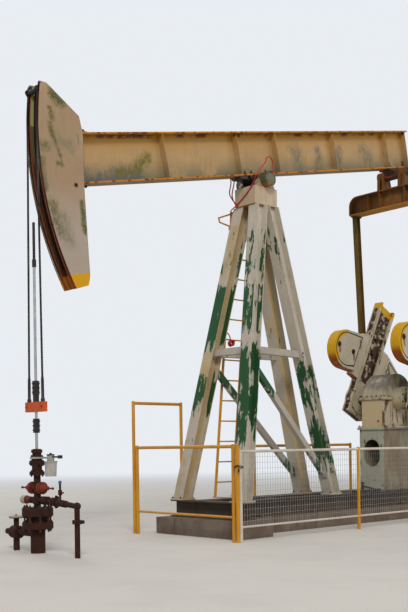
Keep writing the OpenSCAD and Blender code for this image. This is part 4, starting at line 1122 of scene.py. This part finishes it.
class PUMPJACK_OT_gearbox_fittings(bpy.types.Operator):
    """Bolt up the gearbox and its pedestal"""

    bl_idname = "pumpjack.gearbox_fittings"
    bl_label = "Gearbox fittings"

    def execute(self, context):
        split = SHAFT.z + 0.025
        along = [x for x in (2.83 + 0.135 * i for i in range(13)) if abs(x - SHAFT.x) > 0.22]
        places = faced(along, (-0.233, 0.233), (split,), UP)
        places += faced((2.79,), (-0.2, -0.1, 0, 0.1, 0.2), (split,), UP)
        bolts("split_flange_bolts", FRAME_BODY, places, 0.014, 0.8)
        places = faced([2.79 + 0.24 * i for i in range(8)], (-0.262, 0.262), (1.577,), UP)
        places += faced([2.77 + 0.35 * i for i in range(6)], (-0.272, 0.272), (PLATE_TOP,), UP)
        bolts("pedestal_base_bolts", FRAME_BODY, places, 0.0125, 0.8)
        bm = bmesh.new()
        places = []
        for side in (-1, 1):
            out = (0, side, 0)
            ring = [(0.194, -0.002), (0.194, 0.014), (0.186, 0.018)]
            ring += [(0.108, 0.018), (0.1, 0.014), (0.1, -0.002)]
            turned(bm, aimed((SHAFT.x, 0.4 * side, SHAFT.z), out), ring, 48, closed=True)
            places += ringed((SHAFT.x, 0.418 * side, SHAFT.z), out, 0.158, 8)
        # inspection plate, breather and lifting eyes
        brick(bm, aimed((3.95, 0, 2.291), UP), (0.42, 0.3, 0.014), 0.004)
        places += faced((3.78, 3.95, 4.12), (-0.13, 0.13), (2.305,), UP)
        breather = [(0.016, 0), (0.016, 0.06), (0.034, 0.065), (0.04, 0.08), (0.04, 0.1), (0.026, 0.112)]
        turned(bm, aimed((4.33, 0.1, 2.29), UP), breather, 20)
        for x, z in ((SHAFT.x, 2.48), (4.4, 2.292)):
            turned(bm, aimed((x, 0, z - 0.004), UP), [(0.03, 0), (0.03, 0.012), (0.016, 0.016)], 16)
            hoop(bm, aimed((x, 0, z + 0.045), (1, 0, 0)), 0.036, 0.01)
        piece("gearbox_covers", bm, "gearbox", FRAME_BODY)
        places += faced((2.795,), (-0.13,), (1.66,), (-1, 0, 0))
        bolts("gearbox_cover_bolts", FRAME_BODY, places, 0.013, 0.4)
        return {"FINISHED"}


def weight_outline(inset, count=40):
    """Outline of a counterweight in the crank's plane, made smaller by the inset."""
    centre = Vector((-0.74, 0.64))
    r = 0.34 - inset
    ends = [Vector((-0.4 - inset, 1.12 - 1.7 * inset)), Vector((-0.4 - inset, 0.385 + 1.5 * inset))]
    turns = []
    for end, way in zip(ends, (1, -1)):
        d = end - centre
        turns.append(math.atan2(d.y, d.x) + way * math.acos(r / d.length))
    start, stop = turns
    stop += 2 * math.pi if stop < start else 0
    turns = (start + (stop - start) * i / count for i in range(count + 1))
    arc = [centre + r * Vector((math.cos(a), math.sin(a))) for a in turns]
    return [ends[0], *arc, ends[1]]


class PUMPJACK_OT_crank_fittings(bpy.types.Operator):
    """Bolt up the cranks and weights, and blacken the groove round each weight"""

    bl_idname = "pumpjack.crank_fittings"
    bl_label = "Crank fittings"

    def execute(self, context):
        weight_places, clamp_places = [], []
        grooves, hub = bmesh.new(), bmesh.new()
        for side in (-1, 1):
            out = (0, side, 0)
            # both faces of the weight ahead of the crank and of the one behind it
            faces = ((ahead, *face) for ahead in (1, -1) for face in ((WEIGHT_OUT, 1), (WEIGHT_IN, -1)))
            for ahead, face, way in faces:
                for x, z in ((-0.957, 0.61), (-0.56, 0.68)):
                    pocket = (x * ahead, (face - 0.029 * way) * side, z)
                    weight_places.append(CRANK @ aimed(pocket, (0, side * way, 0)))
                rows = []
                for inset, deep in ((0.037, -0.0008), (0.055, -0.0008), (0.055, 0.008), (0.037, 0.008)):
                    y = (face - deep * way) * side
                    rows.append([CRANK @ Vector((p.x * ahead, y, p.y)) for p in weight_outline(inset)])
                loops(grooves, rows, closed=True)
            for x in (-1, 1):
                for y in (0.645, 0.697):
                    clamp_places.append(CRANK @ aimed((0.2065 * x, y * side, -0.2), (x, 0, 0)))
            plate = CRANK @ aimed((0, 0.753 * side, 0), out)
            turned(hub, plate, [(0.066, 0), (0.066, 0.012), (0.058, 0.017)], 32)
            wrist_nut = CRANK @ aimed((0, 0.667 * side, THROW), (0, -side, 0))
            prism(hub, wrist_nut, circle(0.062, 6), 0, 0.05, 0.004)
        bolts("weight_bolts", CRANK_BODY, weight_places, 0.033, 0.7)
        bolts("crank_clamp_bolts", CRANK_BODY, clamp_places, 0.019, 0.8)
        piece("weight_grooves", grooves, "black_line", CRANK_BODY)
        piece("crank_hub_plates", hub, "bolt", CRANK_BODY)
        places = [CRANK @ p for side in (-1, 1) for p in ringed((0, 0.77 * side, 0), (0, side, 0), 0.042, 3)]
        bolts("hub_plate_bolts", CRANK_BODY, places, 0.01, 0.2)
        return {"FINISHED"}


class PUMPJACK_OT_equalizer_fittings(bpy.types.Operator):
    """Bolt up the equalizer, the pitmans and the wrist bearings"""

    bl_idname = "pumpjack.equalizer_fittings"
    bl_label = "Equalizer fittings"

    def execute(self, context):
        # the middle of the equalizer, its top and its underside
        x = TAIL.x + 0.033
        top = TAIL.z - 0.242
        low = top - 0.33
        places = faced((x - 0.09, x + 0.09), (-0.218, 0.218), (top,), UP)
        places += faced((x - 0.07, x + 0.07), (-PITMAN_Y, PITMAN_Y), (low + 0.02,), UP)
        places += faced((x - 0.073, x + 0.092), (-PITMAN_Y, PITMAN_Y), (low - 0.025,), DOWN)
        bolts("equalizer_bolts", EQUALIZER_BODY, places, 0.018, 0.9)
        caps, small = bmesh.new(), []
        for side in (-1, 1):
            out = (0, side, 0)
            small += ringed((WRIST.x, (PITMAN_Y + 0.06) * side, WRIST.z), out, 0.115, 6)
            dome = [(0.088, -0.002), (0.088, 0.006), (0.07, 0.012), (0.035, 0.0165)]
            turned(caps, aimed((WRIST.x, (PITMAN_Y + 0.049) * side, WRIST.z), out), dome, 32)
            shaft_end = aimed((TAIL.x, 0.3 * side, TAIL.z), out)
            turned(caps, shaft_end, [(0.07, -0.002), (0.07, 0.008), (0.06, 0.013)], 28)
            small += ringed((TAIL.x, 0.313 * side, TAIL.z), out, 0.045, 4)
        piece("pin_caps", caps, "tail", EQUALIZER_BODY)
        bolts("pin_cap_bolts", EQUALIZER_BODY, small, 0.0125, 0.4)
        return {"FINISHED"}


def belt_line(clear, steps=40):
    """Closed path round both sheaves, that far clear of them."""
    (a, ra), (b, rb) = BIG_SHEAVE, SMALL_SHEAVE
    ra, rb = ra + clear, rb + clear
    d = b - a
    slope = math.atan2(d.z, d.x)
    open_by = math.acos((ra - rb) / d.length)
    out = []
    for centre, r, start, stop in (
        (a, ra, slope + open_by, slope + 2 * math.pi - open_by),
        (b, rb, slope - open_by, slope + open_by),
    ):
        for i in range(steps + 1):
            t = start + (stop - start) * i / steps
            out.append(centre + Vector((r * math.cos(t), 0, r * math.sin(t))))
    return out


class PUMPJACK_OT_drive(bpy.types.Operator):
    """Run the V belts and dress the sheaves, the guard, the brake and the motor"""

    bl_idname = "pumpjack.drive"
    bl_label = "Drive"

    def execute(self, context):
        count = look().belts
        pitch = BELTS_WIDE / count
        inner, outer = belt_line(0.0008), belt_line(0.0135)
        bm = bmesh.new()
        for i in range(count):
            y = BELT_Y + pitch * (i - (count - 1) / 2)
            rows = []
            for line, half in ((inner, 0.26), (outer, 0.42), (outer, -0.42), (inner, -0.26)):
                rows.append([p + Vector((0, y + half * pitch, 0)) for p in line])
            loops(bm, rows, closed=True)
        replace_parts(piece("v_belts", bm, "rubber", FRAME_BODY, 50), "belts")
        bm = bmesh.new()
        for centre, r in (BIG_SHEAVE, SMALL_SHEAVE):
            for i in range(count + 1):
                y = BELT_Y + pitch * (i - count / 2)
                ridge = [
                    (r - 0.004, -0.0035), (r + 0.009, -0.0012), (r + 0.009, 0.0012), (r - 0.004, 0.0035),
                ]
                turned(bm, aimed((centre.x, y, centre.z), (0, -1, 0)), ridge, 64, closed=True)
        # bands round the brake drum
        drum = aimed((BIG_SHEAVE[0].x, 0.36, BIG_SHEAVE[0].z), (0, 1, 0))
        turned(bm, drum, [(0.209, -0.03), (0.217, -0.03), (0.217, 0.03), (0.209, 0.03)], 48, closed=True)
        for a in (0.2, 1.4):
            lug = drum @ Matrix.Rotation(a, 4, "Z") @ aimed((0.214, 0, 0), (1, 0, 0))
            brick(bm, lug, (0.05, 0.016, 0.04), 0.003)
        piece("sheave_ridges_and_band", bm, "tail", FRAME_BODY)

        bm = bmesh.new()
        fins = 46
        for i in range(fins):
            a = 2 * math.pi * i / fins
            # none where the motor's feet are
            if math.sin(a) < -0.72:
                continue
            fin = Matrix.Translation(MOTOR + Vector((0.209 * math.cos(a), 0.04, 0.209 * math.sin(a))))
            place = fin @ Matrix.Rotation(math.pi / 2 - a, 4, "Y")
            brick(bm, place, (0.005, 0.5, 0.015), 0.001)
        for y, r in ((-0.254, 0.205), (0.334, 0.205), (0.372, 0.14), (-0.292, 0.13)):
            hoop(bm, aimed((MOTOR.x, y, MOTOR.z), (0, 1, 0)), r, 0.006, 40, 6)
        brick(bm, aimed((5.635, 0.04, 1.186), UP), (0.225, 0.215, 0.012), 0.003)
        hoop(bm, aimed((5.8, 0.04, 1.145), (0, 1, 0)), 0.026, 0.007, 24, 6)
        for k in range(6):
            hoop(bm, aimed((MOTOR.x, 0.3705, MOTOR.z), (0, 1, 0)), 0.03 + 0.02 * k, 0.0025, 32, 5)
        piece("motor_fins", bm, "motor", FRAME_BODY)
        places = faced((5.55, 5.72), (-0.045, 0.125), (1.198,), UP)
        places += faced((5.4, 5.5, 5.86, 5.96), (-0.255, 0.255), (0.677,), UP)
        places += ringed((MOTOR.x, 0.33, MOTOR.z), (0, 1, 0), 0.18, 8)
        bolts("motor_bolts", FRAME_BODY, places, 0.0115, 0.5)
        bm = bmesh.new()
        tube(bm, [p + Vector((0, -0.488, 0)) for p in belt_line(0.042)], 0.008, 8, closed=True)
        piece("guard_rim", bm, "yellow", FRAME_BODY)
        rim = belt_line(0.015, 7)
        places = [aimed(p + Vector((0, -0.491, 0)), (0, -1, 0)) for p in rim]
        bolts("guard_bolts", FRAME_BODY, places, 0.01, 0.3)
        return {"FINISHED"}


def wheel(bm, centre, axis, big, hub):
    """Handwheel with four spokes and a nut."""
    place = aimed(centre, axis)
    hoop(bm, place, big, 0.0085, 36, 8)
    turned(bm, place, [(hub, -0.012), (hub, 0.012), (hub * 0.7, 0.016)], 16)
    for i in range(4):
        a = math.pi / 2 * (i + 0.5)
        d = Vector((math.cos(a), math.sin(a), 0))
        middle = d * (big + hub) * 0.5 + Vector((0, 0, -0.004))
        tube(bm, [place @ p for p in (d * hub * 0.8, middle, d * big)], 0.0065, 6)
    bolt(bm, place @ Matrix.Translation((0, 0, 0.014)), hub * 0.62, 0.5)


class PUMPJACK_OT_wellhead(bpy.types.Operator):
    """Stud the wellhead flanges and fit handwheels, unions and clamps"""

    bl_idname = "pumpjack.wellhead"
    bl_label = "Wellhead fittings"

    def execute(self, context):
        big, stud_circle = look().nut_radius, 0.158
        places = []
        for z, way in ((0.375, UP), (0.3, DOWN), (0.55, UP), (0.455, DOWN)):
            places += ringed((ROPE_X, 0, z), way, stud_circle, 8)
        bolts("casing_head_studs", FRAME_BODY, places, big, 0.9)
        bm = bmesh.new()
        for place in ringed((ROPE_X, 0, 0.37), UP, stud_circle, 8):
            tube(bm, [place @ Vector((0, 0, z)) for z in (0, 0.09)], big * 0.5, 10)
        piece("casing_head_stud_shanks", bm, "bolt", FRAME_BODY)
        places = ringed((ROPE_X, 0, 0.995), UP, 0.077, 6) + ringed((ROPE_X, 0, 0.95), DOWN, 0.077, 6)
        places += ringed((ROPE_X, 0, 1.18), UP, 0.065, 4)
        for side in (-1, 1):
            places += ringed((ROPE_X, 0.49 + 0.07 * side, 0.23), (0, side, 0), 0.062, 6)
        for x, zs in ((0.031, (1.965, 2.018, 2.071)), (0.029, (1.5, 1.555, 1.61))):
            for side in (-1, 1):
                places += faced((ROPE_X + x * side,), (-0.02, 0.02), zs, (side, 0, 0))
        for side in (-1, 1):
            places += faced((ROPE_X + 0.033 * side,), (-0.17, 0.17), (1.785,), (side, 0, 0))
        clamps = [p for p in places if p.translation.z > 1.3]
        bolts("wellhead_bolts", FRAME_BODY, [p for p in places if p.translation.z <= 1.3], 0.0115, 0.7)
        bolts("rod_clamp_bolts", ROD_BODY, clamps, 0.0085, 0.8)
        bm = bmesh.new()
        for side in (-1, 1):
            # gland nut and stem cap of a spool valve
            place = aimed((ROPE_X, 0, 0.795), (0, side, 0))
            turned(bm, place, [(0.02, 0.2), (0.028, 0.208), (0.028, 0.232), (0.014, 0.24)], 6)
            turned(bm, place, [(0.013, 0.32), (0.0145, 0.325), (0.0145, 0.346), (0.008, 0.353)], 14)
        wheel(bm, (ROPE_X, 0.49, 0.421), UP, 0.088, 0.022)
        piece("valve_trim", bm, "bonnet", FRAME_BODY)
        bm = bmesh.new()
        # the leak pot's lid, the arm and box of its float switch, and a lug on the stuffing box
        pot = Vector((ROPE_X, -0.3, 1.204))
        lid = [(0.046, -0.012), (0.0475, -0.006), (0.046, 0.002)]
        lid += [(0.014, 0.006), (0.014, 0.014), (0.009, 0.018)]
        turned(bm, Matrix.Translation(pot), lid, 28)
        tube(bm, [pot + Vector((0, y, -0.03)) for y in (-0.04, -0.1, -0.2)], 0.011, 12)
        brick(bm, Matrix.Translation(pot + Vector((0, -0.2, -0.05))), (0.035, 0.05, 0.04), 0.004)
        brick(bm, Matrix.Translation((ROPE_X + 0.085, 0, 1.15)), (0.03, 0.026, 0.026), 0.003)
        piece("pot_trim", bm, "greased", FRAME_BODY)
        bm = bmesh.new()
        cap = [(0.0175, 0), (0.0195, 0.004), (0.0195, 0.03), (0.016, 0.036)]
        turned(bm, Matrix.Translation((ROPE_X, -0.49, 0.855)), cap, 20)
        piece("valve_cap", bm, "blue_cap", FRAME_BODY)
        bm = bmesh.new()
        # hammer lugs of the unions, gland ring and grease nipples
        run = Vector((ROPE_X, -0.37, 0.634))
        for place in ringed(run, (0, -1, -0.076), 0.05, 3):
            brick(bm, place @ aimed((0, 0, 0), (1, 0, 0)), (0.045, 0.028, 0.03), 0.005)
        for place in ringed((ROPE_X, -0.83, 0.4175), UP, 0.056, 3):
            brick(bm, place @ aimed((0, 0, 0), (1, 0, 0)), (0.03, 0.04, 0.028), 0.005)
        hoop(bm, aimed((ROPE_X, 0, 1.264), UP), 0.045, 0.008, 32, 8)
        for a in (0.6, 3.7):
            d = Vector((math.cos(a), math.sin(a), 0))
            root = Vector((ROPE_X, 0, 1.2)) + d * 0.05
            tube(bm, [root, root + d * 0.035, root + d * 0.05 + Vector((0, 0, 0.03))], 0.006, 8)
        piece("wellhead_lugs", bm, "wellhead", FRAME_BODY)
        return {"FINISHED"}


class PUMPJACK_OT_fence_fittings(bpy.types.Operator):
    """Weld wire mesh into the near fence, cap its posts and lock its corner"""

    bl_idname = "pumpjack.fence_fittings"
    bl_label = "Fence fittings"

    def execute(self, context):
        bm = bmesh.new()
        r = look().wire / 2
        y = -FENCE_Y
        x0, x1 = NEAR_X0 + 0.02, FENCE_X + 2 * FENCE_BAY - 0.02
        z0, z1 = 0.2, NEAR_RAIL_Z
        count = round((x1 - x0) / look().mesh_width)
        for i in range(count + 1):
            x = x0 + (x1 - x0) * i / count
            tube(bm, [(x, y - r, z0), (x, y - r, z1)], r, 4)
        count = round((z1 - z0) / look().mesh_height)
        for i in range(count + 1):
            z = z0 + (z1 - z0) * i / count
            tube(bm, [(x0, y + r, z), (x1, y + r, z)], r, 4)
        piece("near_fence_mesh", bm, "wire", FRAME_BODY)
        bm = bmesh.new()
        end_y = FENCE_Y - 0.076
        tops = [(FENCE_X, -end_y, FENCE_H), (FENCE_X, end_y, FENCE_H), (FENCE_X, -FENCE_Y, FENCE_H)]
        tops += [(FENCE_X, FENCE_Y, 1.95), (FENCE_X + 0.94, FENCE_Y, 1.95)]
        tops += [(FENCE_X + i * FENCE_BAY, FENCE_Y, FENCE_H) for i in (1, 2)]
        tops += [(FENCE_X + i * FENCE_BAY, -FENCE_Y, NEAR_RAIL_Z + 0.024) for i in (1, 2)]
        cap = [(0.0245, -0.004), (0.0245, 0.001), (0.02, 0.006), (0.01, 0.009)]
        for p in tops:
            turned(bm, Matrix.Translation(p), cap, 20)
        piece("post_caps", bm, "yellow", FRAME_BODY)
        # chain round the two corner posts, with its padlock
        bm = bmesh.new()
        mid = Vector((FENCE_X + 0.028, -FENCE_Y, 1.0))
        links = 15
        for i in range(links):
            a = 2 * math.pi * i / links
            centre = mid + Vector((0.066 * math.cos(a), 0.038 * math.sin(a), 0.012 * math.sin(2 * a)))
            ahead = Vector((-0.066 * math.sin(a), 0.038 * math.cos(a), 0)).normalized()
            place = aimed(centre, ahead) @ Matrix.Rotation(math.pi / 2 * (i % 2) + 0.4, 4, "Z")
            turns = (2 * math.pi * k / 12 for k in range(13))
            oval = [place @ Vector((0.0095 * math.cos(t), 0, 0.017 * math.sin(t))) for t in turns]
            tube(bm, oval, 0.0036, 6, closed=True)
        lock = mid + Vector((-0.045, -0.045, -0.075))
        brick(bm, Matrix.Translation(lock) @ Matrix.Rotation(0.75, 4, "Z"), (0.045, 0.02, 0.04), 0.004)
        side = Vector((math.cos(0.75), math.sin(0.75), 0)) * 0.014
        high = lock + Vector((0, 0, 0.066))
        top = lock + Vector((0, 0, 0.038))
        bow = [top - side, high - side, high + Vector((0, 0, 0.012)), high + side, top + side]
        tube(bm, smooth_path(bow, 5), 0.0042, 8)
        piece("chain_and_padlock", bm, "greased", FRAME_BODY)
        return {"FINISHED"}


class PUMPJACK_OT_anchors(bpy.types.Operator):
    """Clamp the skid to the foundation"""

    bl_idname = "pumpjack.anchors"
    bl_label = "Skid anchors"

    def execute(self, context):
        bm = bmesh.new()
        places = []
        for x in (-0.45, 0.7, 1.9, 3.0, 4.3, 5.2, 6.0):
            for side in (-1, 1):
                brick(bm, Matrix.Translation((x, 0.415 * side, 0.258)), (0.07, 0.11, 0.02), 0.003)
                brick(bm, Matrix.Translation((x, 0.458 * side, 0.24)), (0.07, 0.026, 0.018), 0.002)
                places += faced((x,), (0.428 * side,), (0.278,), UP)
        piece("skid_clips", bm, "skid", FRAME_BODY)
        bolts("anchor_bolts", FRAME_BODY, places, 0.019, 2.0)
        return {"FINISHED"}


class PUMPJACK_OT_stage(bpy.types.Operator):
    """Set up the floor, the lights and the camera"""

    bl_idname = "pumpjack.stage"
    bl_label = "Stage"

    def execute(self, context):
        scene = context.scene
        bm = bmesh.new()
        corners = ((-90, -90, 0), (90, -90, 0), (90, 90, 0), (-90, 90, 0))
        bm.faces.new([bm.verts.new(p) for p in corners])
        mesh = bpy.data.meshes.new("floor")
        bm.to_mesh(mesh)
        bm.free()
        floor = bpy.data.objects.new("floor", mesh)
        scene.collection.objects.link(floor)
        material, tree, shader, at = new_material("pale matt floor")
        tint = (*look().floor, 1.0)
        dust = add(tree, "MapRange", [cloud(tree, at, 0.9), 0.4, 0.7], **SOFT)
        dusty = add(tree, "Mix", {0: dust, 6: tint, 7: darker(tint, 0.94)}, 2, data_type="RGBA")
        tree.links.new(dusty, shader.inputs["Base Color"])
        shader.inputs["Roughness"].default_value = 0.9
        # between 9 m and 34 m off, it runs out into the background
        backdrop = linear("E9EDF2")
        seen = add(tree, "LightPath", [], "Is Camera Ray")
        far = add(tree, "MapRange", [add(tree, "VectorMath LENGTH", [at], "Value"), 9, 34], **SOFT)
        far = add(tree, "Math MULTIPLY", [seen, far])
        glow = add(tree, "Emission", [backdrop, 1.0])
        mixed = add(tree, "MixShader", [far, shader.outputs[0], glow])
        tree.links.new(mixed, tree.nodes["Material Output"].inputs[0])
        mesh.materials.append(material)

        # rays from the camera see the backdrop, and the rest get a soft, cooler fill
        world = bpy.data.worlds.new("studio")
        world.use_nodes = True
        scene.world = world
        tree = world.node_tree
        tree.nodes.clear()
        seen = add(tree, "LightPath", [], "Is Camera Ray")
        for ray in ("Is Glossy Ray", "Is Transmission Ray"):
            seen = add(tree, "Math MAXIMUM", [seen, add(tree, "LightPath", [], ray)])
        fill = add(tree, "Background", [linear("F4F6FA"), 0.34])
        back = add(tree, "Background", [backdrop, 1.0])
        mixed = add(tree, "MixShader", [seen, fill, back])
        tree.links.new(mixed, tree.nodes.new("ShaderNodeOutputWorld").inputs[0])

        for name, spot, size, power in (
            ("key", (-22, -26, 27), 12, 8600),
            ("side", (16, -18, 14), 14, 1100),
            ("rim", (2, 18, 14), 12, 900),
        ):
            lamp = bpy.data.lights.new(name, "AREA")
            lamp.shape = "DISK"
            lamp.size = size
            lamp.energy = power
            lamp.color = linear("FFF8EE")[:3]
            obj = bpy.data.objects.new(name, lamp)
            obj.matrix_world = aimed(spot, Vector(spot) - Vector((0.5, 0, 3)))
            scene.collection.objects.link(obj)

        # low and level but for a slight roll, ahead of the well and on the near side
        camera = bpy.data.cameras.new("camera")
        camera.lens = 55.04
        camera.sensor_width = 36
        camera.shift_y = 0.2285
        camera.clip_end = 400
        heading, roll = math.radians(42.94), math.radians(0.814)
        ahead = Vector((math.sin(heading), math.cos(heading), 0))
        right = Vector((math.cos(heading), -math.sin(heading), 0))
        up = Vector((0, 0, 1))
        x = right * math.cos(roll) - up * math.sin(roll)
        y = right * math.sin(roll) + up * math.cos(roll)
        obj = bpy.data.objects.new("camera", camera)
        turn = Matrix((x, y, -ahead)).transposed().to_4x4()
        obj.matrix_world = Matrix.Translation((-10.235, -9.768, 1.28)) @ turn
        scene.collection.objects.link(obj)
        scene.camera = obj
        scene.view_settings.view_transform = "Standard"
        return {"FINISHED"}


class PUMPJACK_PT_panel(bpy.types.Panel):
    """Lists the pieces and their sizes"""

    bl_label = "Pumpjack"
    bl_idname = "PUMPJACK_PT_panel"
    bl_space_type = "VIEW_3D"
    bl_region_type = "UI"
    bl_category = "Pumpjack"

    def draw(self, context):
        settings = context.scene.pumpjack_look
        for key in PumpjackLook.__annotations__:
            self.layout.prop(settings, key)
        for operator in OPERATORS:
            self.layout.operator(operator.bl_idname)


OPERATORS = (
    PUMPJACK_OT_finishes,
    PUMPJACK_OT_ropes,
    PUMPJACK_OT_rod,
    PUMPJACK_OT_beam_fittings,
    PUMPJACK_OT_post_fittings,
    PUMPJACK_OT_gearbox_fittings,
    PUMPJACK_OT_crank_fittings,
    PUMPJACK_OT_equalizer_fittings,
    PUMPJACK_OT_drive,
    PUMPJACK_OT_wellhead,
    PUMPJACK_OT_fence_fittings,
    PUMPJACK_OT_anchors,
    PUMPJACK_OT_stage,
)


def register():
    for cls in (PumpjackLook, *OPERATORS, PUMPJACK_PT_panel):
        bpy.utils.register_class(cls)
    bpy.types.Scene.pumpjack_look = PointerProperty(type=PumpjackLook)


def unregister():
    del bpy.types.Scene.pumpjack_look
    for cls in (PUMPJACK_PT_panel, *reversed(OPERATORS), PumpjackLook):
        bpy.utils.unregister_class(cls)


def main():
    register()
    for operator in OPERATORS:
        group, name = operator.bl_idname.split(".")
        getattr(getattr(bpy.ops, group), name)()
    bpy.context.view_layer.update()


if __name__ == "__main__":
    main()
